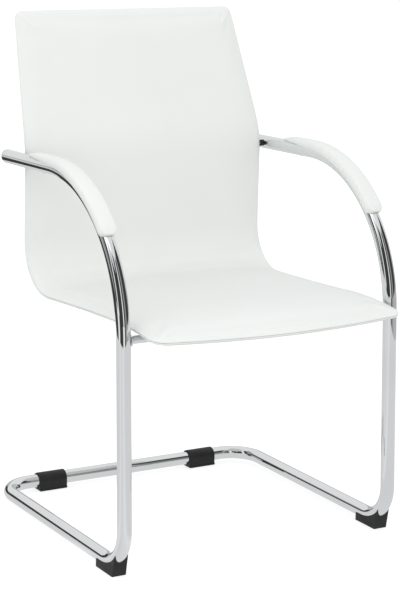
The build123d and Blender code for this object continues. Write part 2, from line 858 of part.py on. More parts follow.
def main():
    """Make the pieces, centre the chair over its footprint and write one file for each."""
    os.makedirs("parts", exist_ok=True)
    pieces = make_pieces()
    box = Compound([solid for piece in pieces.values() for solid in solids_of(piece)]).bounding_box()
    centre = Pos(-(box.min.X + box.max.X) / 2, -(box.min.Y + box.max.Y) / 2, 0)
    print(f"size {box.size.X:.1f} {box.size.Y:.1f} {box.size.Z:.1f}")
    print(f"rear tube at y {-(box.min.Y + box.max.Y) / 2:.2f}")
    for name, piece in pieces.items():
        solids = [centre * solid for solid in solids_of(piece)]
        export_step(solids[0] if len(solids) == 1 else Compound(solids), f"parts/{name}.step")


main()
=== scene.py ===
"""Looks of a cantilever armchair: chrome tubes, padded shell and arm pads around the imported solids."""
import json
import math

import bmesh
import bpy
import numpy as np
from bpy.props import FloatProperty, FloatVectorProperty, PointerProperty
from mathutils import Matrix, Vector


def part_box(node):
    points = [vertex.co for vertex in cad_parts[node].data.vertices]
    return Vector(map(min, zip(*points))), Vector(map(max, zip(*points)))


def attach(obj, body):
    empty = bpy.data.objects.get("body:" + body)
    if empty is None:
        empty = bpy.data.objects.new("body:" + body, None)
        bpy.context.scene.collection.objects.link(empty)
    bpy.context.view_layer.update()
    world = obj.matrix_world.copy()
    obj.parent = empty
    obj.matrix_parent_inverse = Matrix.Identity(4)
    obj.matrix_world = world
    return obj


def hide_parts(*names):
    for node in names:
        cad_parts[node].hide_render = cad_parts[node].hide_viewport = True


bl_info = {
    "name": "Cantilever armchair",
    "version": (1, 0, 0),
    "blender": (4, 5, 0),
    "location": "View3D > Sidebar > Armchair",
    "description": "Builds the upholstery, tubes and fittings of a sled base armchair",
    "category": "Add Mesh",
}

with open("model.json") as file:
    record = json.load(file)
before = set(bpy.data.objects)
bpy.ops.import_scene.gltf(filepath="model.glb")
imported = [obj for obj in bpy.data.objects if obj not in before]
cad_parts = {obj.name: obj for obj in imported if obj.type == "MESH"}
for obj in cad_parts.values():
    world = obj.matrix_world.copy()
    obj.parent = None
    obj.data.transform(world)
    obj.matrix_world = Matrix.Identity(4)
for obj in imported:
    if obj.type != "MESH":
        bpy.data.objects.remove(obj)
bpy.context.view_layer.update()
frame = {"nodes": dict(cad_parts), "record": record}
record_colours = {row["slot"]: row["base_color"] for row in frame["record"]["materials"]}

MM = 0.001
SIDES = ((-1, "left"), (1, "right"))

# Bent tube frame, in metres and degrees. Y runs to the rear and Z up from the floor.
REAR_Y = 268.04 * MM
HALF_TRACK = 270.0 * MM
RAIL_LENGTH = 501.5 * MM
RAIL_HEIGHT = 17.5 * MM
UPRIGHT_LEAN = math.radians(2.46)
ARM_CORNER_HEIGHT = 668.0 * MM
ARM_SLOPE = math.radians(1.6)
ARM_END_SETBACK = 27.0 * MM
ARM_BEND_RADIUS = 261.0 * MM
FRONT_BEND_RADIUS = 65.0 * MM
REAR_BEND_RADIUS = 58.0 * MM
HALF_JOINT = 165.0 * MM
TUBE_WALL = 1.8 * MM
TUBE_SIDES = 72
BEND_STEP = math.radians(2.5)

# Rim line of the shell in the side view
BACK_SETBACK = 60.0 * MM
SEAT_CORNER_HEIGHT = 410.2 * MM
SEAT_RISE = math.radians(2.6)
SEAT_FRONT_DROP = math.radians(14.0)
SEAT_FRONT_CORNER = 516.6 * MM
SEAT_FRONT_RADIUS = 800.0 * MM
SEAT_BEND_RADIUS = 85.0 * MM
LUMBAR_HEIGHT = 677.0 * MM
LUMBAR_RADIUS = 150.0 * MM
BACK_LEAN = math.radians(21.5)
BACK_LENGTH = 256.0 * MM
RIM_OVERRUN = 28.0 * MM

# Outline of the shell
SEAT_EDGE = 552.0 * MM
SEAT_BOW = 22.0 * MM
SEAT_CORNER_RADIUS = 28.0 * MM
TOP_CORNER_RADIUS = 14.0 * MM
SHELL_HALF = 251.0 * MM
PANEL_INSET = 30.0 * MM
# Depth in millimetres up to which the seam holds a cover
SEAM_HOLD = 1.6
# Width of the front cover's rolled edge, and where its crown starts and how far it fades out
FRONT_ROLL = 15.0 * MM
CROWN_FROM = 2.0 * MM
CROWN_FADE = 70.0 * MM


def upright_y(height):
    """Y of an upright's centre line at a height."""
    return REAR_Y - RAIL_LENGTH + math.tan(UPRIGHT_LEAN) * (height - RAIL_HEIGHT)


ARM_CORNER_Y = upright_y(ARM_CORNER_HEIGHT)


def arm_height(y):
    """Height of an arm's straight rear part on its centre line."""
    return ARM_CORNER_HEIGHT - math.tan(ARM_SLOPE) * (y - ARM_CORNER_Y)


def size_setting(name, description, default, low, high):
    """A length that a user may change, given in millimetres."""
    return FloatProperty(name=name, description=description, default=default * MM, min=low * MM,
                         max=high * MM, unit="LENGTH")


def colour_setting(name, description, default):
    """A colour that a user may change."""
    return FloatVectorProperty(name=name, description=description, default=default, subtype="COLOR", size=3,
                               min=0.0, max=1.0)


class ArmchairSizes(bpy.types.PropertyGroup):
    """Sizes of the armchair that a user may change."""
    tube_diameter: size_setting("Tube diameter", "Outer diameter of the bent chrome tube", 25.0, 15.0, 35.0)
    front_depth: size_setting("Front padding", "Padding in front of the rim seam", 10.0, 9.5, 30.0)
    rear_depth: size_setting("Rear padding", "Padding behind the rim seam", 6.0, 5.5, 30.0)
    crown: size_setting("Crown", "Rise of the front padding in the middle", 5.0, 0.0, 20.0)
    pad_width: size_setting("Arm pad width", "Width of an arm pad across its lower edges", 32.0, 20.0, 50.0)
    pad_height: size_setting("Arm pad height", "Height of an arm pad above its tube", 9.0, 3.0, 30.0)


# The photograph's white is a little cooler than a neutral one
COOL_WHITE = (0.830, 0.849, 0.826)


class ArmchairColours(bpy.types.PropertyGroup):
    """Colours of the armchair that a user may change."""
    cover: colour_setting("Cover", "Smooth faux leather of the shell and the arm pads", COOL_WHITE)
    chrome: colour_setting("Chrome", "Plated tube", record_colours["chrome_tube"])
    plastic: colour_setting("Plastic", "Feet, glides, caps and spacers", record_colours["black_plastic"])
    webbing: colour_setting("Webbing", "Elastic straps inside the shell", record_colours["webbing"])


def sizes():
    """The user's sizes."""
    return bpy.context.scene.armchair_sizes


def colours():
    """The user's colours."""
    return bpy.context.scene.armchair_colours


# Materials

def shader_nodes(name):
    """New material with its nodes, links and main shader."""
    material = bpy.data.materials.new(name)
    material.use_nodes = True
    nodes = material.node_tree.nodes
    return material, nodes, material.node_tree.links, nodes["Principled BSDF"]


# Values of a texture between which its contrast is spread
TEXTURE_LOW = 0.3
TEXTURE_HIGH = 0.7


def noise(nodes, links, scale):
    """Noise over a piece's own coordinates."""
    place = nodes.new("ShaderNodeTexCoord")
    texture = nodes.new("ShaderNodeTexNoise")
    texture.inputs["Scale"].default_value = scale
    texture.inputs["Detail"].default_value = 3.0
    links.new(place.outputs["Object"], texture.inputs["Vector"])
    return texture.outputs["Fac"]


def ranged(nodes, links, source, low, high, out_low=0.0, out_high=1.0):
    """A value's place between two numbers, spread between two others."""
    share = nodes.new("ShaderNodeMapRange")
    limits = {"From Min": low, "From Max": high, "To Min": out_low, "To Max": out_high}
    for name, value in limits.items():
        share.inputs[name].default_value = value
    links.new(source, share.inputs["Value"])
    return share.outputs["Result"]


def ramp(nodes, links, source, stops):
    """Colours along a value from 0 to 1."""
    node = nodes.new("ShaderNodeValToRGB")
    elements = node.color_ramp.elements
    while len(elements) < len(stops):
        elements.new(0.5)
    for element, (position, colour) in zip(elements, stops):
        element.position = position
        element.color = (*colour, 1)
    links.new(source, node.inputs["Fac"])
    return node.outputs["Color"]


def tint(nodes, links, source, base, dark, light):
    """A texture's values as a colour between a darker and a lighter share of another."""
    ends = [(TEXTURE_LOW, shade(base, dark)), (TEXTURE_HIGH, shade(base, light))]
    return ramp(nodes, links, source, ends)


def bump(nodes, links, shader, height, strength, distance):
    """Fine relief on a shader."""
    relief = nodes.new("ShaderNodeBump")
    relief.inputs["Strength"].default_value = strength
    relief.inputs["Distance"].default_value = distance
    links.new(height, relief.inputs["Height"])
    links.new(relief.outputs["Normal"], shader.inputs["Normal"])


def shade(colour, share):
    """A colour made darker or lighter."""
    return tuple(min(1.0, part * share) for part in colour)


def surface(name, base, stain, rough, grain=None):
    """Material whose colour and roughness vary a little, each as the texture's scale and two ends."""
    material, nodes, links, shader = shader_nodes(name)
    source = grain(nodes, links) if grain else noise(nodes, links, stain[0])
    links.new(tint(nodes, links, source, base, *stain[1:]), shader.inputs["Base Color"])
    texture = noise(nodes, links, rough[0])
    roughness = ranged(nodes, links, texture, TEXTURE_LOW, TEXTURE_HIGH, *rough[1:])
    links.new(roughness, shader.inputs["Roughness"])
    return material, nodes, links, shader, source


def cover_material(name):
    """Smooth white faux leather with a fine embossed grain."""
    material, nodes, links, shader, _ = surface(name, colours().cover, (5.0, 0.985, 1.01), (60.0, 0.44, 0.54))
    place = nodes.new("ShaderNodeTexCoord")
    cells = nodes.new("ShaderNodeTexVoronoi")
    cells.feature = "DISTANCE_TO_EDGE"
    cells.inputs["Scale"].default_value = 900.0
    links.new(place.outputs["Object"], cells.inputs["Vector"])
    shader.inputs["Specular IOR Level"].default_value = 0.4
    bump(nodes, links, shader, cells.outputs["Distance"], 0.12, 0.0002)
    return material


def chrome_material(name):
    """Bright plated steel."""
    material, _, _, shader, _ = surface(name, colours().chrome, (12.0, 0.98, 1.02), (90.0, 0.012, 0.03))
    shader.inputs["Metallic"].default_value = 1.0
    return material


def plastic_material(name):
    """Matt black moulded plastic with a fine spark texture."""
    base = colours().plastic
    material, nodes, links, shader, _ = surface(name, base, (40.0, 0.55, 0.80), (200.0, 0.42, 0.58))
    shader.inputs["Specular IOR Level"].default_value = 0.3
    bump(nodes, links, shader, noise(nodes, links, 1800.0), 0.25, 0.0001)
    return material


def coated_steel_material(name):
    """Black powder coat with its orange peel."""
    base = record_colours["inner_steel"]
    material, nodes, links, shader, _ = surface(name, base, (30.0, 0.9, 1.1), (150.0, 0.38, 0.5))
    bump(nodes, links, shader, noise(nodes, links, 700.0), 0.3, 0.0001)
    return material


def zinc_material(name):
    """Bright zinc of the bolts and screws."""
    base = record_colours["fasteners"]
    material, _, _, shader, _ = surface(name, base, (120.0, 0.92, 1.06), (400.0, 0.28, 0.42))
    shader.inputs["Metallic"].default_value = 1.0
    return material


def woven_ribs(nodes, links):
    """Ribs across a strap."""
    place = nodes.new("ShaderNodeTexCoord")
    ribs = nodes.new("ShaderNodeTexWave")
    ribs.bands_direction = "X"
    ribs.inputs["Scale"].default_value = 180.0
    ribs.inputs["Distortion"].default_value = 0.6
    links.new(place.outputs["Object"], ribs.inputs["Vector"])
    return ribs.outputs["Fac"]


def webbing_material(name):
    """Woven elastic with ribs across the strap."""
    base = colours().webbing
    material, nodes, links, shader, ribs = surface(name, base, (None, 0.7, 1.5), (300.0, 0.75, 0.9),
                                                   woven_ribs)
    bump(nodes, links, shader, ribs, 0.4, 0.0004)
    return material


FINISHES = {
    "white_cover": ("white_faux_leather", cover_material),
    "chrome_tube": ("bright_chrome", chrome_material),
    "black_plastic": ("matt_black_plastic", plastic_material),
    "inner_steel": ("black_powder_coat", coated_steel_material),
    "fasteners": ("bright_zinc", zinc_material),
    "webbing": ("elastic_webbing", webbing_material),
}


def finish_of(slot):
    """The finish for a slot of the record, made on first use."""
    name, maker = FINISHES[slot]
    return bpy.data.materials.get(name) or maker(name)


# Modelling steps

HARD_ANGLE = math.radians(35)
SOFT_ANGLE = math.radians(60)
# Settings of the cloth that a filling pushes out
CLOTH = {"quality": 6, "mass": 0.3, "tension_stiffness": 20.0, "compression_stiffness": 20.0,
         "bending_stiffness": 2.0, "use_pressure": True, "uniform_pressure_force": 4.0}
FILL_FRAMES = 20


def deselect():
    """Nothing selected, in object mode."""
    if bpy.context.mode != "OBJECT":
        bpy.ops.object.mode_set(mode="OBJECT")
    bpy.ops.object.select_all(action="DESELECT")


def make_active(piece):
    """Only this piece selected and active."""
    deselect()
    piece.select_set(True)
    bpy.context.view_layer.objects.active = piece


def add_ring(count, radius, centre, along):
    """Circle square to a direction, in edit mode with all of it selected."""
    deselect()
    turn = Vector((0, 0, 1)).rotation_difference(Vector(along)).to_euler()
    bpy.ops.mesh.primitive_circle_add(vertices=count, radius=radius, fill_type="NOTHING",
                                      location=centre, rotation=turn)
    piece = bpy.context.active_object
    bpy.ops.object.transform_apply(location=True, rotation=True, scale=True)
    bpy.ops.object.mode_set(mode="EDIT")
    bpy.ops.mesh.select_all(action="SELECT")
    return piece


def push(step):
    """Extrude what is selected by a step."""
    bpy.ops.mesh.extrude_region_move(TRANSFORM_OT_translate={"value": tuple(step)})


def swell(share, centre):
    """Scale what is selected about a centre."""
    bpy.ops.transform.resize(value=(share,) * 3, center_override=tuple(centre))


def close_end():
    """Fill the selected ring."""
    bpy.ops.mesh.edge_face_add()


def selected_centre(piece):
    """Middle of the selected vertices."""
    mesh = bmesh.from_edit_mesh(piece.data)
    places = [vertex.co for vertex in mesh.verts if vertex.select]
    return sum(places, Vector()) / len(places)


def select_ring(piece, centre, reach):
    """Select only the vertices near a point."""
    bpy.ops.mesh.select_mode(type="VERT")
    bpy.ops.mesh.select_all(action="DESELECT")
    mesh = bmesh.from_edit_mesh(piece.data)
    for vertex in mesh.verts:
        vertex.select = (vertex.co - Vector(centre)).length < reach
    mesh.select_flush(True)
    bmesh.update_edit_mesh(piece.data)


def ring_order(mesh):
    """Points of a single open ring, in order round it."""
    start = mesh.verts[0]
    order = [start]
    edge = start.link_edges[0]
    place = edge.other_vert(start)
    while place is not start:
        order.append(place)
        edge = next(item for item in place.link_edges if item is not edge)
        place = edge.other_vert(place)
    return order


def settle(piece, merge=1e-6):
    """Leave edit mode with doubles merged and faces turned outwards."""
    make_active(piece)
    bpy.ops.object.mode_set(mode="EDIT")
    bpy.ops.mesh.select_all(action="SELECT")
    bpy.ops.mesh.remove_doubles(threshold=merge)
    bpy.ops.mesh.normals_make_consistent(inside=False)
    bpy.ops.object.mode_set(mode="OBJECT")


def smooth(piece, angle=HARD_ANGLE):
    """Smooth shading with hard edges kept."""
    make_active(piece)
    bpy.ops.object.shade_smooth_by_angle(angle=angle)


def apply_modifier(piece, kind, **settings):
    """Give a piece a modifier with its settings and apply it."""
    make_active(piece)
    modifier = piece.modifiers.new(kind.lower(), kind)
    for name, value in settings.items():
        setattr(modifier, name, value)
    bpy.ops.object.modifier_apply(modifier=modifier.name)


def round_edges(piece, width, segments=3, angle=HARD_ANGLE):
    """Bevel the hard edges of a piece."""
    apply_modifier(piece, "BEVEL", width=width, segments=segments, limit_method="ANGLE", angle_limit=angle,
                   use_clamp_overlap=True)


def subdivide(piece):
    """One step of subdivision."""
    apply_modifier(piece, "SUBSURF", levels=1, render_levels=1)


def cut(piece, tool):
    """Cut one piece by another."""
    apply_modifier(piece, "BOOLEAN", operation="DIFFERENCE", solver="EXACT", object=tool)


def joined(pieces):
    """Several pieces made one."""
    make_active(pieces[0])
    for piece in pieces:
        piece.select_set(True)
    bpy.ops.object.join()
    return pieces[0]


def turned(start, along, steps, sides=48):
    """Round solid about an axis, from steps of distance along it and radius, with its end left selected."""
    distance, radius = steps[0]
    place = start + along * distance
    piece = add_ring(sides, radius, place, along)
    close_end()
    select_ring(piece, place, 2 * radius)
    for following, width in steps[1:]:
        push(along * (following - distance))
        distance = following
        swell(width / radius, start + along * distance)
        radius = width
    return piece


def ring_faces(low, high, count):
    """Faces between two rings of points."""
    return [(low + index, low + (index + 1) % count, high + (index + 1) % count, high + index)
            for index in range(count)]


def hold(piece, points):
    """Mark the points of a cover that its seam or the frame behind it holds."""
    group = piece.vertex_groups.new(name="held")
    group.add(points, 1.0, "REPLACE")


def fill_out(piece, cap):
    """Fill a sewn cover like a cushion with a short cloth simulation, and let go of its held points."""
    held = piece.vertex_groups["held"]
    before = [vertex.co.copy() for vertex in piece.data.vertices]
    after = filled_points(piece, held.name)
    for vertex, old, new in zip(piece.data.vertices, before, after):
        move = new - old
        if move.length > 1e-9:
            vertex.co = old + move * (cap * math.tanh(move.length / cap) / move.length)
    piece.data.update()
    piece.vertex_groups.remove(held)


def filled_points(piece, held):
    """Places of a cover's points after its filling has pushed it out."""
    scene = bpy.context.scene
    cloth = piece.modifiers.new("filling", "CLOTH")
    for name, value in CLOTH.items():
        setattr(cloth.settings, name, value)
    cloth.settings.vertex_group_mass = held
    cloth.settings.effector_weights.gravity = 0.0
    cloth.point_cache.frame_start = 1
    cloth.point_cache.frame_end = FILL_FRAMES
    for number in range(1, FILL_FRAMES + 1):
        scene.frame_set(number)
    filled = piece.evaluated_get(bpy.context.evaluated_depsgraph_get())
    places = [vertex.co.copy() for vertex in filled.data.vertices]
    piece.modifiers.remove(cloth)
    scene.frame_set(1)
    return places


def hand_over(piece, name, slot, *nodes):
    """Name a finished piece, give it its finish and let it stand for CAD nodes."""
    piece.name = name
    piece.data.name = name
    piece.data.materials.clear()
    piece.data.materials.append(finish_of(slot))
    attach(piece, "root")
    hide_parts(*nodes)
    return piece


def linked(name, data):
    """New object in the scene."""
    piece = bpy.data.objects.new(name, data)
    bpy.context.scene.collection.objects.link(piece)
    return piece


def mesh_piece(name, points, faces):
    """Piece from points and faces."""
    mesh = bpy.data.meshes.new(name)
    mesh.from_pydata([tuple(point) for point in points], [], faces)
    mesh.update()
    return linked(name, mesh)


def box_middle(node):
    """Middle of a CAD node's box."""
    low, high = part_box(node)
    return (low + high) / 2


def bent_tube(points, radii, radius):
    """Closed bent tube along straight runs joined by bends, with a bore at its first end."""
    points = [Vector(point) for point in points]
    along = (points[1] - points[0]).normalized()
    place = points[0].copy()
    piece = add_ring(TUBE_SIDES, radius, place, along)
    for corner, after, bend in zip(points[1:], points[2:], radii):
        onward = (after - corner).normalized()
        turn = along.angle(onward)
        tangent = bend * math.tan(turn / 2)
        push(corner - along * tangent - place)
        axis = along.cross(onward).normalized()
        centre = corner - along * tangent + axis.cross(along) * bend
        steps = max(4, math.ceil(turn / BEND_STEP))
        bpy.ops.mesh.spin(steps=steps, angle=-turn, center=tuple(centre), axis=tuple(axis))
        place = corner + onward * tangent
        found = selected_centre(piece)
        if (found - place).length > 1e-4:
            raise RuntimeError(f"a bend ended at {tuple(found)} and not at {tuple(place)}")
        along = onward
    push(points[-1] - place)
    close_end()
    select_ring(piece, points[0], radius * 1.01)
    push((0, 0, 0))
    swell(1 - TUBE_WALL / radius, points[0])
    push((points[1] - points[0]).normalized() * radius)
    close_end()
    settle(piece)
    smooth(piece)
    return piece


class ARMCHAIR_OT_side_tubes(bpy.types.Operator):
    """Bend both side tubes: arm, upright, floor rail and half of the rear run"""
    bl_idname = "armchair.side_tubes"
    bl_label = "Side tubes"

    def execute(self, context):
        radius = sizes().tube_diameter / 2
        arm_end = REAR_Y - ARM_END_SETBACK
        for side, name in SIDES:
            x = side * HALF_TRACK
            points = [
                (x, arm_end, arm_height(arm_end)),
                (x, ARM_CORNER_Y, ARM_CORNER_HEIGHT),
                (x, REAR_Y - RAIL_LENGTH, RAIL_HEIGHT),
                (x, REAR_Y, RAIL_HEIGHT),
                (side * HALF_JOINT, REAR_Y, RAIL_HEIGHT),
            ]
            tube = bent_tube(points, [ARM_BEND_RADIUS, FRONT_BEND_RADIUS, REAR_BEND_RADIUS], radius)
            hand_over(tube, f"{name}_chrome_side_tube", "chrome_tube", f"{name}_side_tube")
        return {"FINISHED"}


class ARMCHAIR_OT_rear_tube(bpy.types.Operator):
    """Model the straight rear tube between the glides"""
    bl_idname = "armchair.rear_tube"
    bl_label = "Rear tube"

    def execute(self, context):
        radius = sizes().tube_diameter / 2
        ends = [(-HALF_JOINT, REAR_Y, RAIL_HEIGHT), (HALF_JOINT, REAR_Y, RAIL_HEIGHT)]
        hand_over(bent_tube(ends, [], radius), "chrome_rear_tube", "chrome_tube", "rear_cross_tube")
        return {"FINISHED"}


# Weld fillet of the crossbar from its root inside the upright, as distance from the upright's face and radius
WELD = [(-3.0, 11.6), (0.4, 11.2), (0.9, 10.6), (1.8, 9.1), (2.9, 8.0), (4.0, 7.35), (5.0, 7.05), (5.6, 7.0)]
# Dome of an arm's end cap, as distance from the tube's end and share of its radius
DOME = [(0.0, 0.975), (0.4, 1.0), (1.2, 1.0), (2.0, 0.975), (2.7, 0.91), (3.2, 0.83), (3.5, 0.7), (3.5, 0.4)]
PLUG_LENGTH = 10.0 * MM
PLUG_AIR = 0.1 * MM
# Arm spacer outwards from the shell's edge, as distance and share of its radius
SPACER = [(0.0, 0.92), (0.5, 1.0), (2.6, 1.0), (3.0, 0.94), (3.8, 0.94), (4.2, 1.0), (6.0, 1.0), (7.0, 1.0)]
SPACER_RADIUS = 6.0 * MM


class ARMCHAIR_OT_crossbar(bpy.types.Operator):
    """Model the seat's crossbar with its weld fillets on both uprights"""
    bl_idname = "armchair.crossbar"
    bl_label = "Crossbar"

    def execute(self, context):
        middle = box_middle("seat_crossbar")
        face = HALF_TRACK - sizes().tube_diameter / 2
        steps = [(-face + distance * MM, width * MM) for distance, width in WELD]
        steps += [(-distance, width) for distance, width in reversed(steps)]
        bar = turned(Vector((0, middle.y, middle.z)), Vector((1, 0, 0)), steps)
        settle(bar)
        smooth(bar)
        hand_over(bar, "chrome_seat_crossbar", "chrome_tube", "seat_crossbar")
        return {"FINISHED"}


class ARMCHAIR_OT_end_caps(bpy.types.Operator):
    """Model the domed plugs in the rear ends of the arms"""
    bl_idname = "armchair.end_caps"
    bl_label = "Arm end caps"

    def execute(self, context):
        radius = sizes().tube_diameter / 2
        plug = radius - TUBE_WALL - PLUG_AIR
        arm_end = REAR_Y - ARM_END_SETBACK
        along = Vector((0, math.cos(ARM_SLOPE), -math.sin(ARM_SLOPE)))
        steps = [(-PLUG_LENGTH, plug), (0.0, plug)]
        steps += [(distance * MM, share * radius) for distance, share in DOME]
        for side, name in SIDES:
            cap = turned(Vector((side * HALF_TRACK, arm_end, arm_height(arm_end))), along, steps)
            settle(cap)
            smooth(cap)
            hand_over(cap, f"{name}_plastic_end_cap", "black_plastic", f"{name}_arm_end_cap")
        return {"FINISHED"}


class ARMCHAIR_OT_arm_spacers(bpy.types.Operator):
    """Model the round spacers between the shell and the arms"""
    bl_idname = "armchair.arm_spacers"
    bl_label = "Arm spacers"

    def execute(self, context):
        tube = sizes().tube_diameter / 2
        middle = box_middle("arm_spacers")
        steps = [(distance * MM, share * SPACER_RADIUS) for distance, share in SPACER]
        spacers = []
        for side, _ in SIDES:
            start = Vector((side * SHELL_HALF, middle.y, middle.z))
            spacer = turned(start, Vector((side, 0, 0)), steps)
            mesh = bmesh.from_edit_mesh(spacer.data)
            for vertex in mesh.verts:
                if vertex.select:
                    rise = min(abs(vertex.co.z - middle.z), tube)
                    vertex.co.x = side * (HALF_TRACK - math.sqrt(tube ** 2 - rise ** 2))
            bmesh.update_edit_mesh(spacer.data)
            settle(spacer)
            smooth(spacer)
            spacers.append(spacer)
        hand_over(joined(spacers), "plastic_arm_spacers", "black_plastic", "arm_spacers")
        return {"FINISHED"}


# Rear glide: wall round the tube, sole with the share of its height over which it flares, and rounded edges
GLIDE_WALL = 3.0 * MM
GLIDE_SOLE = 4.0 * MM
GLIDE_FLARE = 1.5 * MM
GLIDE_SLANT = 0.3
GLIDE_EDGE = 0.9 * MM
# Front foot: wall under the bend, front edge from the upright, length, rake over a height, and half-width
FOOT_WALL = 3.5 * MM
FOOT_FRONT = 20.5 * MM
FOOT_LENGTH = 60.0 * MM
FOOT_RAKE = 8.0 * MM
FOOT_HEIGHT = 42.0 * MM
FOOT_HALF = 13.25 * MM
# Part of the bend that the foot cups, the lip at its front and its rounded edges
FOOT_ARC = math.radians(57)
FOOT_ARC_STEPS = 14
FOOT_LIP = 2.0 * MM
FOOT_EDGE = 1.2 * MM
FOOT_ANGLE = math.radians(30)


class ARMCHAIR_OT_rear_glides(bpy.types.Operator):
    """Model the sleeves with flat soles on the rear tube"""
    bl_idname = "armchair.rear_glides"
    bl_label = "Rear glides"

    def execute(self, context):
        tube = sizes().tube_diameter / 2
        reach = tube + GLIDE_WALL
        corner = math.atan2(RAIL_HEIGHT, reach)
        for _, name in SIDES:
            low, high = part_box(f"{name}_rear_glide")
            start = (low.x, REAR_Y, RAIL_HEIGHT)
            glide = add_ring(TUBE_SIDES, tube, start, (1, 0, 0))
            push((0, 0, 0))
            swell(reach / tube, start)
            mesh = bmesh.from_edit_mesh(glide.data)
            for vertex in mesh.verts:
                if vertex.select and vertex.co.z < RAIL_HEIGHT - 1e-6:
                    angle = math.atan2(RAIL_HEIGHT - vertex.co.z, abs(vertex.co.y - REAR_Y))
                    across = reach
                    up = RAIL_HEIGHT - reach * math.tan(angle)
                    if angle >= corner:
                        across = RAIL_HEIGHT / math.tan(angle)
                        up = 0.0
                    if up < GLIDE_SOLE:
                        share = min(1.0, (GLIDE_SOLE - up) / (GLIDE_SLANT * GLIDE_SOLE))
                        across *= 1 + GLIDE_FLARE / reach * share
                    vertex.co.y = REAR_Y + math.copysign(across, vertex.co.y - REAR_Y)
                    vertex.co.z = up
            bmesh.update_edit_mesh(glide.data)
            bpy.ops.mesh.select_all(action="SELECT")
            push((high.x - low.x, 0, 0))
            settle(glide)
            round_edges(glide, GLIDE_EDGE)
            smooth(glide)
            hand_over(glide, f"{name}_plastic_glide", "black_plastic", f"{name}_rear_glide")
        return {"FINISHED"}


class ARMCHAIR_OT_front_feet(bpy.types.Operator):
    """Model the wedge feet that cup the tube under the front bends"""
    bl_idname = "armchair.front_feet"
    bl_label = "Front feet"

    def execute(self, context):
        wall_radius = FRONT_BEND_RADIUS + FOOT_WALL
        front = REAR_Y - RAIL_LENGTH + FOOT_FRONT
        rear = front + FOOT_LENGTH
        slant = FOOT_RAKE / FOOT_HEIGHT
        centre_y = REAR_Y - RAIL_LENGTH + FRONT_BEND_RADIUS
        centre_z = RAIL_HEIGHT + FRONT_BEND_RADIUS
        arc = []
        for step in range(FOOT_ARC_STEPS + 1):
            angle = -math.pi / 2 - FOOT_ARC * step / FOOT_ARC_STEPS
            y = centre_y + wall_radius * math.cos(angle)
            z = centre_z + wall_radius * math.sin(angle)
            if y > front - slant * z:
                arc.append((y, z))
        edge_z = arc[-1][1] + FOOT_LIP
        side_view = [(front, 0.0), (front - slant * edge_z, edge_z)]
        side_view += list(reversed(arc)) + [(rear, RAIL_HEIGHT - FOOT_WALL), (rear, 0.0)]
        for side, name in SIDES:
            x = side * HALF_TRACK - FOOT_HALF
            outline = add_ring(len(side_view), FOOT_HALF, (x, front, FOOT_HALF), (1, 0, 0))
            mesh = bmesh.from_edit_mesh(outline.data)
            mesh.verts.ensure_lookup_table()
            for vertex, (y, z) in zip(ring_order(mesh), side_view):
                vertex.co = (x, y, z)
            bmesh.update_edit_mesh(outline.data)
            close_end()
            push((2 * FOOT_HALF, 0, 0))
            settle(outline)
            round_edges(outline, FOOT_EDGE, segments=4, angle=FOOT_ANGLE)
            cut(outline, bpy.data.objects[f"{name}_chrome_side_tube"])
            settle(outline)
            smooth(outline)
            hand_over(outline, f"{name}_plastic_foot", "black_plastic", f"{name}_front_foot")
        return {"FINISHED"}


# Shell

def rim_corners():
    """Corners of the rim line in the side view, as (y, z), from the front to the top."""
    front_z = SEAT_CORNER_HEIGHT + math.tan(SEAT_RISE) * (SEAT_FRONT_CORNER - BACK_SETBACK)
    reach = SEAT_FRONT_RADIUS * math.tan((SEAT_RISE + SEAT_FRONT_DROP) / 2) + RIM_OVERRUN
    tip = (REAR_Y - SEAT_FRONT_CORNER - reach * math.cos(SEAT_FRONT_DROP),
           front_z - reach * math.sin(SEAT_FRONT_DROP))
    top = (REAR_Y - BACK_SETBACK + BACK_LENGTH * math.sin(BACK_LEAN),
           LUMBAR_HEIGHT + BACK_LENGTH * math.cos(BACK_LEAN))
    return [tip, (REAR_Y - SEAT_FRONT_CORNER, front_z), (REAR_Y - BACK_SETBACK, SEAT_CORNER_HEIGHT),
            (REAR_Y - BACK_SETBACK, LUMBAR_HEIGHT), top]


def rim_line():
    """Rim line as rows of length along it, y, z and heading, from the front to the top."""
    corners = [np.array(corner) for corner in rim_corners()]
    radii = [SEAT_FRONT_RADIUS, SEAT_BEND_RADIUS, LUMBAR_RADIUS]
    step = 1.0 * MM
    rows = []
    length = 0.0
    place = corners[0]
    for index in range(1, len(corners)):
        along = corners[index] - corners[index - 1]
        along = along / np.linalg.norm(along)
        heading = math.atan2(along[1], along[0])
        end = corners[index]
        turn = 0.0
        if index < len(corners) - 1:
            following = corners[index + 1] - corners[index]
            turn = math.atan2(following[1], following[0]) - heading
            end = end - along * radii[index - 1] * math.tan(abs(turn) / 2)
        run = np.linalg.norm(end - place)
        for share in np.linspace(0, 1, max(2, int(run / step)), endpoint=False):
            point = place + (end - place) * share
            rows.append((length + run * share, point[0], point[1], heading))
        length += run
        place = end
        if turn:
            radius = radii[index - 1]
            hand = math.copysign(1, turn)
            centre = place + hand * radius * np.array([-along[1], along[0]])
            arc = radius * abs(turn)
            for share in np.linspace(0, 1, max(2, int(arc / step)), endpoint=False):
                angle = heading + turn * share
                point = centre - hand * radius * np.array([-math.sin(angle), math.cos(angle)])
                rows.append((length + arc * share, point[0], point[1], angle))
            length += arc
            angle = heading + turn
            place = centre - hand * radius * np.array([-math.sin(angle), math.cos(angle)])
    rows.append((length, corners[-1][0], corners[-1][1], heading))
    return np.array(rows)


RIM = rim_line()


def shell_point(x, length, depth):
    """Point at a place across, a length along the rim line and a depth in front of it."""
    y = np.interp(length, RIM[:, 0], RIM[:, 1])
    z = np.interp(length, RIM[:, 0], RIM[:, 2])
    heading = np.interp(length, RIM[:, 0], RIM[:, 3])
    return Vector((x, y - math.sin(heading) * depth, z + math.cos(heading) * depth))


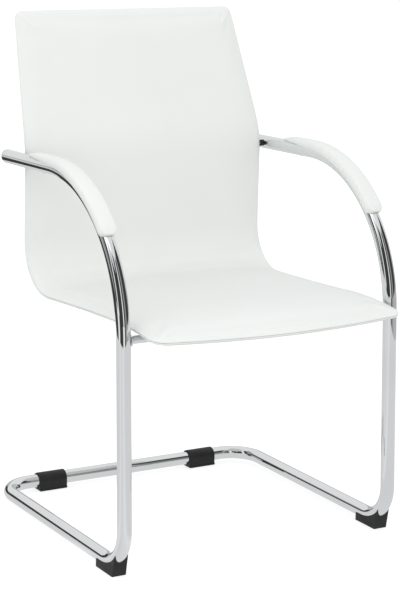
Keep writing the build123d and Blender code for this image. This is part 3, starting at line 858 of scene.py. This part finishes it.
def seat_length(y):
    """Length along the rim line at a place on the seat."""
    seat = RIM[RIM[:, 3] < math.radians(45)]
    return float(np.interp(y, seat[:, 1], seat[:, 0]))


BOW_RADIUS = (SHELL_HALF ** 2 + SEAT_BOW ** 2) / (2 * SEAT_BOW)
TOP_LENGTH = float(RIM[-1, 0])


def front_length(x):
    """Length along the rim line where the seat's bowed front edge lies."""
    y = REAR_Y - SEAT_EDGE - SEAT_BOW + BOW_RADIUS - math.sqrt(BOW_RADIUS ** 2 - x ** 2)
    return seat_length(y)


# Half-width of the shell along the rim line, as length down from the top and half-width
HALF_WIDTHS = np.array([
    (0.0, 231.0), (60.0, 236.0), (120.0, 241.0), (180.0, 246.0), (215.0, 248.6), (245.0, 250.6),
    (290.0, 251.0), (480.0, 251.0), (560.0, 249.6), (640.0, 246.2), (720.0, 244.0), (800.0, 245.0),
    (880.0, 248.5), (960.0, 250.5), (1100.0, 251.0),
]) * MM


def half_width(length):
    """Half-width of the shell at a length along the rim line."""
    return float(np.interp(TOP_LENGTH - length, HALF_WIDTHS[:, 0], HALF_WIDTHS[:, 1]))


def graded(near, step):
    """Places from 0 to 1, close together at both ends."""
    low = near[-1]
    high = 1 - low
    count = max(1, round((high - low) / step))
    places = [*near, *(1 - place for place in near)]
    places += [low + (high - low) * index / count for index in range(1, count)]
    return sorted(places)


# Grid of the shell's panels: its lines near an edge in millimetres, its steps elsewhere as shares, and its
# places across, from -1 to 1, and along, from 0 to 1
CORNER_STEPS = (0.0, 5.0, 10.0, 14.0, 21.0, 28.0, 40.0, 54.0)
ACROSS_STEP = 0.034
ALONG_STEP = 0.0165
ACROSS = [2 * place - 1 for place in
          graded([step * MM / (2 * SHELL_HALF) for step in CORNER_STEPS], ACROSS_STEP)]
ALONG = graded([step * MM for step in CORNER_STEPS], ALONG_STEP)


def corner_place(side, turn, top):
    """Place on a rounded corner of the back's top or of the seat's front."""
    radius = TOP_CORNER_RADIUS if top else SEAT_CORNER_RADIUS
    x = (half_width(TOP_LENGTH) if top else SHELL_HALF) - radius
    inward = radius * (1 - math.sin(turn))
    length = TOP_LENGTH - inward if top else front_length(x) + inward
    return side * (x + radius * math.cos(turn)), length


def rounded(across, along):
    """Place on the outline with its corners rounded, from its place on the sharp outline."""
    side = math.copysign(1, across)
    eighth = math.pi / 4
    if abs(across) == 1:
        start = front_length(SHELL_HALF)
        length = start + along * (TOP_LENGTH - start)
        if TOP_LENGTH - length < TOP_CORNER_RADIUS:
            return corner_place(side, eighth * (1 - (TOP_LENGTH - length) / TOP_CORNER_RADIUS), True)
        if length - start < SEAT_CORNER_RADIUS:
            return corner_place(side, eighth * (1 - (length - start) / SEAT_CORNER_RADIUS), False)
        return side * half_width(length), length
    top = along == 1
    half = half_width(TOP_LENGTH) if top else SHELL_HALF
    radius = TOP_CORNER_RADIUS if top else SEAT_CORNER_RADIUS
    x = across * half
    to_side = half - abs(x)
    if to_side < radius:
        return corner_place(side, math.pi / 2 - eighth * (1 - to_side / radius), top)
    return x, TOP_LENGTH if top else front_length(x)


def inner_place(across, along):
    """Place on the panel inside the rolled rim."""
    x = across * (SHELL_HALF - PANEL_INSET)
    start = front_length(x) + PANEL_INSET
    length = start + along * (TOP_LENGTH - PANEL_INSET - start)
    return across * (half_width(length) - PANEL_INSET), length


def crown_at(x, length):
    """Rise of the front padding, faded out towards the front and the top."""
    crown = sizes().crown * max(0.0, 1 - (x / SHELL_HALF) ** 2)
    to_edge = min(TOP_LENGTH - length, length - front_length(x))
    share = min(1.0, max(0.0, to_edge / CROWN_FADE))
    return crown * math.sin(share * math.pi / 2)


def boundary():
    """Grid places round the panel, in order, as (column, row)."""
    columns = len(ACROSS)
    rows = len(ALONG)
    loop = [(column, 0) for column in range(columns - 1)]
    loop += [(columns - 1, row) for row in range(rows - 1)]
    loop += [(column, rows - 1) for column in range(columns - 1, 0, -1)]
    loop += [(0, row) for row in range(rows - 1, 0, -1)]
    return loop


def shell_panel(name, hand, roll):
    """Closed half of the shell: rolled rim, panel and the hidden face with its hollow for the frame."""
    loop = boundary()
    columns = len(ACROSS)
    rows = len(ALONG)
    points = []
    faces = []

    def add_point(x, length, depth, share):
        """Point at a depth, raised by a share of the crown in front, away from the seam."""
        rise = crown_at(x, length) * share if hand > 0 and depth > CROWN_FROM else 0.0
        points.append(shell_point(x, length, hand * (depth + rise)))

    def ring(inset, depth):
        """Ring of points at a distance inside the outline."""
        first = len(points)
        share = inset / PANEL_INSET
        for column, row in loop:
            outer = rounded(ACROSS[column], ALONG[row])
            inner = inner_place(ACROSS[column], ALONG[row])
            x = outer[0] + (inner[0] - outer[0]) * share
            length = outer[1] + (inner[1] - outer[1]) * share
            add_point(x, length, depth, min(1.0, inset / FRONT_ROLL))
        return first

    def panel(depth, edge):
        """Faces inside the last ring."""
        index_of = {place: edge + index for index, place in enumerate(loop)}
        for row in range(1, rows - 1):
            for column in range(1, columns - 1):
                index_of[column, row] = len(points)
                x, length = inner_place(ACROSS[column], ALONG[row])
                add_point(x, length, depth, 1.0)
        for row in range(rows - 1):
            for column in range(columns - 1):
                faces.append((index_of[column, row], index_of[column + 1, row],
                              index_of[column + 1, row + 1], index_of[column, row + 1]))

    rings = [ring(inset * MM, depth * MM) for inset, depth in roll]
    for low, high in zip(rings, rings[1:]):
        faces += ring_faces(low, high, len(loop))
    hidden = len(points)
    panel(roll[0][1] * MM, rings[0])
    shown = len(points)
    panel(roll[-1][1] * MM, rings[-1])
    piece = mesh_piece(name, points, faces)
    sewn = 1 + max(index for index, (inset, depth) in enumerate(roll) if depth < SEAM_HOLD)
    hold(piece, list(range(rings[sewn])) + list(range(hidden, shown)))
    settle(piece)
    return piece


# Rolled edge of each half: its width, its turns in degrees and the flat rim's distances, in millimetres
ROLLS = {
    "front": (FRONT_ROLL / MM, (3, 13, 25, 38, 51, 64, 77, 90), (20.0, 30.0)),
    "rear": (8.0, (4, 20, 40, 62, 90), (12.0, 20.0, 30.0)),
}
# Depth at which a rolled edge leaves the seam, in millimetres
ROLL_START = 1.0


def rolled_edge(depth, width, turns, flat):
    """Steps of a rolled edge and the flat rim inside it, as distance from the outline and depth."""
    steps = []
    for turn in turns:
        angle = math.radians(turn)
        steps.append((width - width * math.cos(angle), ROLL_START + (depth - ROLL_START) * math.sin(angle)))
    return steps + [(inset, depth) for inset in flat]


# How far the filling may push each cover out
SHELL_FILL = {"front": 3.0 * MM, "rear": 1.2 * MM}
# Seam along the rim, as distance from the outline and depth in millimetres
SEAM = [(11.0, 0.12), (3.0, 0.12), (1.5, 0.16), (0.6, 0.40)]
# Hollow in each half for the steel frame and the straps: its depth and its edge's distances, in millimetres
FRAME_ROOM = {"front": 8.6, "rear": 4.7}
HOLLOW_EDGE = (16.0, 12.0)
# Air round the bushes, bolts and saddles, and where their holes begin and end
FASTENING_ROOM = 0.3 * MM
BOLT_RADIUS = 3.0 * MM
BOLT_HEAD_RADIUS = 5.25 * MM
BUSH_HOLE_START = 222.0 * MM
BOLT_HOLE_START = 236.0 * MM
BOLT_HOLE_END = SHELL_HALF + 5.0 * MM
SEAT_HOLE_DROP = 4.0 * MM


def add_rod(start, end, radius):
    """Closed round rod between two points."""
    way = Vector(end) - Vector(start)
    rod = turned(Vector(start), way.normalized(), [(0.0, radius), (way.length, radius)], sides=32)
    settle(rod)
    return rod


def fastening_tools():
    """Two tools in the form of the holes for the bushes, bolts and saddles on both sides."""
    bush_low, bush_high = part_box("arm_bolt_bushes")
    bolt_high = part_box("seat_bolts")[1]
    saddle_low, saddle_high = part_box("seat_saddles")
    arm = (bush_low + bush_high) / 2
    seat_y = box_middle("seat_bolts").y
    middle = bolt_high.x - BOLT_HEAD_RADIUS
    bolt_hole = BOLT_RADIUS + FASTENING_ROOM
    bush_hole = (bush_high.z - bush_low.z) / 2 + FASTENING_ROOM
    first = []
    second = []
    for side, _ in SIDES:
        places = [Vector((side * x, arm.y, arm.z)) for x in
                  (BUSH_HOLE_START, bush_high.x + FASTENING_ROOM, BOLT_HOLE_START, BOLT_HOLE_END)]
        first.append(add_rod(places[0], places[1], bush_hole))
        first.append(add_rod((side * middle, seat_y, saddle_low.z),
                             (side * middle, seat_y, bolt_high.z - SEAT_HOLE_DROP), bolt_hole))
        second.append(add_rod(places[2], places[3], bolt_hole))
        deselect()
        bpy.ops.mesh.primitive_cube_add(size=1.0)
        block = bpy.context.active_object
        block.location = (side * middle, (saddle_low.y + saddle_high.y) / 2,
                          saddle_low.z + FASTENING_ROOM / 2)
        block.scale = (2 * (saddle_high.x - middle + FASTENING_ROOM),
                       saddle_high.y - saddle_low.y + 2 * FASTENING_ROOM,
                       2 * (saddle_high.z - saddle_low.z) + FASTENING_ROOM)
        bpy.ops.object.transform_apply(location=True, rotation=True, scale=True)
        second.append(block)
    return joined(first), joined(second)


class ARMCHAIR_OT_shell(bpy.types.Operator):
    """Model the padded seat and back: a front and a rear cover that meet in a seam along the rim"""
    bl_idname = "armchair.shell"
    bl_label = "Upholstered shell"

    def execute(self, context):
        tools = fastening_tools()
        for name, hand, depth in (("front", 1, sizes().front_depth), ("rear", -1, sizes().rear_depth)):
            hollow = [(inset, FRAME_ROOM[name]) for inset in HOLLOW_EDGE]
            roll = rolled_edge(depth / MM, *ROLLS[name])
            piece = shell_panel(f"shell_{name}", hand, hollow + SEAM + roll)
            fill_out(piece, SHELL_FILL[name])
            subdivide(piece)
            for tool in tools:
                cut(piece, tool)
            smooth(piece, SOFT_ANGLE)
            hand_over(piece, f"upholstered_shell_{name}", "white_cover", f"{name}_cover", f"{name}_foam")
        for tool in tools:
            bpy.data.objects.remove(tool)
        return {"FINISHED"}


# Arm pads

PAD_STRAIGHT = 93.0 * MM
PAD_ARC = 232.0 * MM
PAD_NOSE = 14.0 * MM
PAD_RISE_LENGTH = 45.0 * MM
PAD_TAPER_LENGTH = 200.0 * MM
PAD_TIP_WIDTH = 8.0 * MM
PAD_TIP_HEIGHT = 2.2 * MM
PAD_TIP_SKIRT = 12.0 * MM
PAD_SKIRT = 3.0 * MM
PAD_FILL = 0.6 * MM
# Air between a pad and the tube, and the channel in it for the strip that takes its screws
PAD_AIR = 0.35 * MM
STRIP_CHANNEL = (-56.0 * MM, 222.0 * MM)
STRIP_HALF = 9.0 * MM
STRIP_TOP = 15.0 * MM
# Outer line of half a pad's section from its lower edge to its crown, as shares of half-width and height
PAD_SECTION = [(0.955, 0.0), (1.0, 0.05), (1.06, 0.22), (1.085, 0.42), (1.06, 0.62), (0.985, 0.79),
               (0.85, 0.905), (0.62, 0.965), (0.32, 0.992), (0.0, 1.0)]
# Share of a pad's width and height that is left at the end of its nose, and its sections
NOSE_WIDTH = 0.25
NOSE_HEIGHT = 0.45
PAD_STEPS = 34
PAD_STEP_POWER = 1.4
NOSE_STEPS = 7


def arm_place(distance):
    """Point and outward direction on an arm's centre line, at a distance in front of its bend's rear end."""
    tangent = ARM_BEND_RADIUS * math.tan((math.pi / 2 - UPRIGHT_LEAN + ARM_SLOPE) / 2)
    end_y = ARM_CORNER_Y + tangent * math.cos(ARM_SLOPE)
    end_z = arm_height(end_y)
    heading = math.pi - ARM_SLOPE + max(distance, 0.0) / ARM_BEND_RADIUS
    along = (math.cos(heading), math.sin(heading))
    outward = (along[1], -along[0])
    if distance <= 0:
        return (end_y + distance * along[0], end_z + distance * along[1]), outward
    first = math.pi - ARM_SLOPE + math.pi / 2
    centre = (end_y + ARM_BEND_RADIUS * math.cos(first), end_z + ARM_BEND_RADIUS * math.sin(first))
    return (centre[0] + ARM_BEND_RADIUS * outward[0], centre[1] + ARM_BEND_RADIUS * outward[1]), outward


def pad_size(distance):
    """Half-width, lower edge and crown of a pad at a distance in front of the bend's rear end."""
    tube = sizes().tube_diameter / 2
    reach = distance + PAD_STRAIGHT
    rise = math.sin(min(reach / PAD_RISE_LENGTH, 1.0) * math.pi / 2)
    swell_share = math.sqrt(min(reach / PAD_TAPER_LENGTH, 1.0))
    half = (PAD_TIP_WIDTH + (sizes().pad_width - PAD_TIP_WIDTH) * swell_share) / 2
    low = PAD_TIP_SKIRT + (PAD_SKIRT - PAD_TIP_SKIRT) * swell_share
    height = PAD_TIP_HEIGHT + (sizes().pad_height - PAD_TIP_HEIGHT) * rise
    over = max(distance - PAD_ARC + PAD_NOSE, 0.0) / PAD_NOSE
    nose = math.sqrt(max(0.0, 1 - over ** 2))
    return (half * (NOSE_WIDTH + (1 - NOSE_WIDTH) * nose), low,
            tube + height * (NOSE_HEIGHT + (1 - NOSE_HEIGHT) * nose))


def pad_loop(distance):
    """Section of a pad: its outer line from right to left and its inner line on the tube back again."""
    half, low, crown = pad_size(distance)
    inside = sizes().tube_diameter / 2 + PAD_AIR
    foot = PAD_SECTION[0][0] * half
    if foot < inside:
        low = max(low, math.sqrt(inside ** 2 - foot ** 2))
    outer = [(half * across, low + (crown - low) * up) for across, up in PAD_SECTION]
    outer += [(-across, up) for across, up in reversed(outer[:-1])]
    start = math.asin(min(1.0, low / inside))
    count = len(outer)
    inner = []
    for index in range(count):
        angle = math.pi - start - (math.pi - 2 * start) * index / (count - 1)
        across = inside * math.cos(angle)
        over_strip = STRIP_CHANNEL[0] < distance < STRIP_CHANNEL[1] and abs(across) < STRIP_HALF
        inner.append((across, STRIP_TOP if over_strip else inside * math.sin(angle)))
    return outer, inner


def pad_stations():
    """Distances of a pad's sections, closer together at its tip and along its nose."""
    nose = PAD_ARC - PAD_NOSE
    total = nose + PAD_STRAIGHT
    stations = [-PAD_STRAIGHT + total * (step / PAD_STEPS) ** PAD_STEP_POWER for step in range(PAD_STEPS + 1)]
    quarter = math.pi / 2 / NOSE_STEPS
    stations += [nose + PAD_NOSE * math.sin(quarter * step) for step in range(1, NOSE_STEPS + 1)]
    return stations


class ARMCHAIR_OT_arm_pads(bpy.types.Operator):
    """Model the padded arm rests that wrap the tops of the arm tubes"""
    bl_idname = "armchair.arm_pads"
    bl_label = "Arm pads"

    def execute(self, context):
        for side, name in SIDES:
            points = []
            faces = []
            stations = pad_stations()
            for distance in stations:
                (y, z), outward = arm_place(distance)
                outer, inner = pad_loop(distance)
                for across, up in outer + inner:
                    points.append((side * HALF_TRACK + across, y + outward[0] * up, z + outward[1] * up))
            count = len(outer)
            total = 2 * count
            last = (len(stations) - 1) * total
            for low in range(0, last, total):
                faces += ring_faces(low, low + total, total)
            for low in (0, last):
                for index in range(count - 1):
                    back = low + total - 1 - index
                    faces.append((low + index, low + index + 1, back - 1, back))
            pad = mesh_piece(f"{name}_pad", points, faces)
            on_tube = {0, *range(count - 1, total)}
            hold(pad, [index for index in range(len(points)) if index % total in on_tube])
            settle(pad)
            fill_out(pad, PAD_FILL)
            subdivide(pad)
            smooth(pad, SOFT_ANGLE)
            hand_over(pad, f"{name}_padded_arm_rest", "white_cover",
                      f"{name}_arm_pad_cover", f"{name}_arm_pad_foam")
        return {"FINISHED"}


# Straps inside the shell

# Middles of the straps down from the inner frame's top, in millimetres
STRAP_PLACES = {"back": (45.0, 105.0, 165.0, 305.0, 365.0), "seat": (645.0, 705.0, 765.0)}
STRAP_HALF = 206.5 * MM
STRAP_WIDTH = 45.0 * MM
STRAP_THICKNESS = 1.8 * MM
STRAP_LIFT = 2.0 * MM
STRAP_MARGIN = 24.0 * MM


class ARMCHAIR_OT_straps(bpy.types.Operator):
    """Model the elastic webbing across the inner frame"""
    bl_idname = "armchair.straps"
    bl_label = "Webbing"

    def execute(self, context):
        for name, places in STRAP_PLACES.items():
            straps = []
            for place in places:
                middle = TOP_LENGTH - STRAP_MARGIN - place * MM
                deselect()
                bpy.ops.mesh.primitive_grid_add(x_subdivisions=26, y_subdivisions=6, size=1.0)
                strap = bpy.context.active_object
                for vertex in strap.data.vertices:
                    x = vertex.co.x * 2 * STRAP_HALF
                    vertex.co = shell_point(x, middle + vertex.co.y * STRAP_WIDTH, STRAP_LIFT)
                apply_modifier(strap, "SOLIDIFY", thickness=STRAP_THICKNESS, offset=0.0)
                settle(strap)
                round_edges(strap, 0.5 * MM, segments=2)
                straps.append(strap)
            webbing = joined(straps)
            smooth(webbing)
            hand_over(webbing, f"{name}_webbing", "webbing", f"{name}_straps")
        return {"FINISHED"}


class ARMCHAIR_OT_fittings(bpy.types.Operator):
    """Give the CAD pieces that stay their finishes"""
    bl_idname = "armchair.fittings"
    bl_label = "Inner frame and fastenings"

    def execute(self, context):
        slots = {row["node"]: row["material_slot"] for row in frame["record"]["subparts"]}
        for name, node in frame["nodes"].items():
            if node.hide_render:
                continue
            node.data.materials.clear()
            node.data.materials.append(finish_of(slots[name]))
        return {"FINISHED"}


# Stage

CAMERA_PLACE = Vector((-1787.5, -3044.9, 1210.1)) * MM
CAMERA_AZIMUTH = math.radians(-30.392)
CAMERA_ELEVATION = math.radians(10.126)
CAMERA_ROLL = math.radians(1.250)
CAMERA_LENS = 120.62
CAMERA_SHIFT = -0.15


def add_camera():
    """Camera at the photograph's viewing angle."""
    data = bpy.data.cameras.new("camera")
    data.lens = CAMERA_LENS
    data.sensor_width = 36.0
    data.shift_y = CAMERA_SHIFT
    data.clip_end = 60.0
    camera = linked("camera", data)
    matrix = Matrix.Translation(CAMERA_PLACE)
    for angle, axis in ((CAMERA_AZIMUTH, "Z"), (math.pi / 2 - CAMERA_ELEVATION, "X"), (CAMERA_ROLL, "Z")):
        matrix = matrix @ Matrix.Rotation(angle, 4, axis)
    camera.matrix_world = matrix
    bpy.context.scene.camera = camera


# Grey levels of the studio that the chrome mirrors
DARK = 0.05
DIM = 0.35
PALE = 0.52
BRIGHT = 0.97
CEILING_GREY = 0.86
CEILING_FADE = 0.05
# Walls with two strip lights, by azimuth in degrees from the camera's side to the right
WALLS = [(-180, PALE), (-125, PALE), (-110, DIM), (-80, DIM), (-68, DARK), (-57, DARK), (-52, BRIGHT),
         (-47, BRIGHT), (-40, DARK), (8, DARK), (13, BRIGHT), (20, BRIGHT), (27, DARK), (40, DARK), (48, DIM),
         (56, DIM), (66, DARK), (105, DARK), (125, PALE), (180, PALE)]
# Low edge of the studio round the floor, by the same azimuth
EDGE_LEVELS = [(-180, PALE), (-150, PALE), (-143, DARK), (-70, DARK), (-63, BRIGHT), (-49, BRIGHT),
               (-41, DARK), (-4, DARK), (2, BRIGHT), (17, BRIGHT), (23, DARK), (30, DARK), (38, DIM),
               (58, DIM), (68, PALE), (180, PALE)]
EDGE_CENTRE = (-0.15, -0.70)
EDGE_RADIUS = 2.25
EDGE_HEIGHT = 0.45
# Sine of the elevation at which the bright ceiling begins, by the same azimuth
CEILING_EDGE = [(-180, 0.0), (-128, 0.0), (-100, 0.72), (100, 0.72), (128, 0.0), (180, 0.0)]
# Floor with two paler stripes under the strip lights
FLOOR_GREY = 0.75
FLOOR_PALE = 0.88
FLOOR_LEVELS = [(-180, FLOOR_GREY), (-62, FLOOR_GREY), (-44, FLOOR_PALE), (-30, FLOOR_GREY), (-4, FLOOR_PALE),
                (16, FLOOR_GREY), (180, FLOOR_GREY)]
FLOOR_SIZE = 60.0
FLOOR_DROP = 0.5 * MM
FLOOR_LIGHT = 0.29
FLOOR_GLOW = 0.72
FLOOR_ALBEDO = 0.42
# Soft light from all round and from above
WORLD_LIGHT = 1.05
WORLD_TOP = (0.960, 0.970, 0.982)
# Energy, size and place of each soft light
SOFT_BOXES = {
    "key": (6.0, (2.0, 1.4), (-1.9, -0.8, 2.5)),
    "fill": (7.0, (1.8, 0.6), (-1.2, -2.6, 0.85)),
}


def azimuth(nodes, links, direction):
    """Azimuth of a direction from the camera's side, from 0 to 1."""
    right = (math.cos(CAMERA_AZIMUTH), math.sin(CAMERA_AZIMUTH), 0)
    front = (math.sin(CAMERA_AZIMUTH), -math.cos(CAMERA_AZIMUTH), 0)
    turn = nodes.new("ShaderNodeMath")
    turn.operation = "ARCTAN2"
    for axis, socket in zip((right, front), turn.inputs):
        part = nodes.new("ShaderNodeVectorMath")
        part.operation = "DOT_PRODUCT"
        part.inputs[1].default_value = axis
        links.new(direction, part.inputs[0])
        links.new(part.outputs["Value"], socket)
    return ranged(nodes, links, turn.outputs["Value"], -math.pi, math.pi)


def around(stops):
    """Grey stops in degrees as colours at places from 0 to 1."""
    return [((angle + 180) / 360, (level, level, level)) for angle, level in stops]


def blend(nodes, links, share, first, second):
    """One colour faded into another."""
    mix = nodes.new("ShaderNodeMix")
    mix.data_type = "RGBA"
    links.new(share, mix.inputs["Factor"])
    for colour, socket in ((first, mix.inputs[6]), (second, mix.inputs[7])):
        if isinstance(colour, float):
            socket.default_value = (colour, colour, colour, 1)
        elif isinstance(colour, tuple):
            socket.default_value = (*colour, 1)
        else:
            links.new(colour, socket)
    return mix.outputs[2]


def set_world(world):
    """White surroundings for the camera, soft light for the covers and a studio for the chrome to mirror."""
    world.use_nodes = True
    nodes = world.node_tree.nodes
    links = world.node_tree.links
    nodes.clear()
    place = nodes.new("ShaderNodeTexCoord")
    parts = nodes.new("ShaderNodeSeparateXYZ")
    links.new(place.outputs["Generated"], parts.inputs["Vector"])
    turn = azimuth(nodes, links, place.outputs["Generated"])
    above = nodes.new("ShaderNodeMath")
    above.operation = "SUBTRACT"
    links.new(parts.outputs["Z"], above.inputs[0])
    links.new(ramp(nodes, links, turn, around(CEILING_EDGE)), above.inputs[1])
    bands = ramp(nodes, links, turn, around(WALLS))
    ceiling = ranged(nodes, links, above.outputs["Value"], 0.0, CEILING_FADE)
    mirrored = blend(nodes, links, ceiling, bands, CEILING_GREY)
    path = nodes.new("ShaderNodeLightPath")
    soft = blend(nodes, links, ranged(nodes, links, parts.outputs["Z"], 0.2, 0.95), WORLD_LIGHT, WORLD_TOP)
    lit = blend(nodes, links, path.outputs["Is Glossy Ray"], soft, mirrored)
    seen = blend(nodes, links, path.outputs["Is Camera Ray"], lit, 1.0)
    background = nodes.new("ShaderNodeBackground")
    links.new(seen, background.inputs["Color"])
    output = nodes.new("ShaderNodeOutputWorld")
    links.new(background.outputs["Background"], output.inputs["Surface"])


def floor_material():
    """White floor with hardly a shadow, which the chrome mirrors in soft greys."""
    material, nodes, links, shader = shader_nodes("floor_white")
    place = nodes.new("ShaderNodeTexCoord")
    mirrored = ramp(nodes, links, azimuth(nodes, links, place.outputs["Object"]), around(FLOOR_LEVELS))
    path = nodes.new("ShaderNodeLightPath")
    glow = blend(nodes, links, path.outputs["Is Camera Ray"], FLOOR_LIGHT, FLOOR_GLOW)
    glossy = path.outputs["Is Glossy Ray"]
    links.new(blend(nodes, links, glossy, glow, mirrored), shader.inputs["Emission Color"])
    links.new(blend(nodes, links, glossy, FLOOR_ALBEDO, 0.0), shader.inputs["Base Color"])
    shader.inputs["Emission Strength"].default_value = 1.0
    shader.inputs["Roughness"].default_value = 1.0
    shader.inputs["Specular IOR Level"].default_value = 0.0
    return material


def add_studio_edge():
    """Low dark ring round the floor that only reflections see."""
    deselect()
    bpy.ops.mesh.primitive_cylinder_add(vertices=128, radius=EDGE_RADIUS, depth=EDGE_HEIGHT,
                                        end_fill_type="NOTHING", location=(*EDGE_CENTRE, EDGE_HEIGHT / 2))
    edge = bpy.context.active_object
    edge.name = "studio_edge"
    bpy.ops.object.transform_apply(location=True, rotation=True, scale=True)
    for rays in ("camera", "diffuse", "shadow", "transmission", "volume_scatter"):
        setattr(edge, f"visible_{rays}", False)
    material, nodes, links, shader = shader_nodes("studio_edge_dark")
    place = nodes.new("ShaderNodeTexCoord")
    levels = ramp(nodes, links, azimuth(nodes, links, place.outputs["Object"]), around(EDGE_LEVELS))
    links.new(levels, shader.inputs["Emission Color"])
    shader.inputs["Emission Strength"].default_value = 1.0
    shader.inputs["Base Color"].default_value = (0, 0, 0, 1)
    shader.inputs["Specular IOR Level"].default_value = 0.0
    edge.data.materials.append(material)


def add_soft_box(name, energy, size, place):
    """Soft light turned to the chair."""
    light = bpy.data.lights.new(name, "AREA")
    light.shape = "RECTANGLE"
    light.size, light.size_y = size
    light.energy = energy
    lamp = linked(name, light)
    lamp.location = place
    lamp.rotation_euler = (Vector((0, 0, 0.5)) - lamp.location).to_track_quat("-Z", "Y").to_euler()
    lamp.visible_glossy = name == "key"


class ARMCHAIR_OT_stage(bpy.types.Operator):
    """Set up the white floor, the soft studio light and the camera"""
    bl_idname = "armchair.stage"
    bl_label = "Stage"

    def execute(self, context):
        scene = context.scene
        scene.view_settings.view_transform = "Standard"
        scene.cycles.use_denoising = True
        scene.world = scene.world or bpy.data.worlds.new("studio")
        set_world(scene.world)
        deselect()
        bpy.ops.mesh.primitive_plane_add(size=FLOOR_SIZE, location=(0, 0, -FLOOR_DROP))
        floor = context.active_object
        floor.name = "floor"
        bpy.ops.object.transform_apply(location=True, rotation=True, scale=True)
        floor.data.materials.append(floor_material())
        add_studio_edge()
        for name, settings in SOFT_BOXES.items():
            add_soft_box(name, *settings)
        add_camera()
        return {"FINISHED"}


# Panel and registration

STEPS = ("side_tubes", "rear_tube", "crossbar", "front_feet", "rear_glides", "end_caps", "arm_spacers",
         "shell", "arm_pads", "straps", "fittings", "stage")


class ARMCHAIR_PT_pieces(bpy.types.Panel):
    """Pieces of the armchair"""
    bl_idname = "ARMCHAIR_PT_pieces"
    bl_label = "Armchair"
    bl_space_type = "VIEW_3D"
    bl_region_type = "UI"
    bl_category = "Armchair"

    def draw(self, context):
        layout = self.layout
        for group in (context.scene.armchair_sizes, context.scene.armchair_colours):
            box = layout.box()
            for name in group.__annotations__:
                box.prop(group, name)
        for step in STEPS:
            layout.operator(f"armchair.{step}")


CLASSES = (
    ArmchairSizes, ArmchairColours, ARMCHAIR_OT_side_tubes, ARMCHAIR_OT_rear_tube, ARMCHAIR_OT_crossbar,
    ARMCHAIR_OT_front_feet, ARMCHAIR_OT_rear_glides, ARMCHAIR_OT_end_caps, ARMCHAIR_OT_arm_spacers,
    ARMCHAIR_OT_shell, ARMCHAIR_OT_arm_pads, ARMCHAIR_OT_straps, ARMCHAIR_OT_fittings, ARMCHAIR_OT_stage,
    ARMCHAIR_PT_pieces,
)


def register():
    """Make the classes and the scene's settings known."""
    for item in CLASSES:
        bpy.utils.register_class(item)
    bpy.types.Scene.armchair_sizes = PointerProperty(type=ArmchairSizes)
    bpy.types.Scene.armchair_colours = PointerProperty(type=ArmchairColours)


def unregister():
    """Take the classes and the scene's settings away."""
    del bpy.types.Scene.armchair_colours
    del bpy.types.Scene.armchair_sizes
    for item in reversed(CLASSES):
        bpy.utils.unregister_class(item)


def main():
    """Build every piece and the stage."""
    register()
    for step in STEPS:
        getattr(bpy.ops.armchair, step)()


if __name__ == "__main__":
    main()
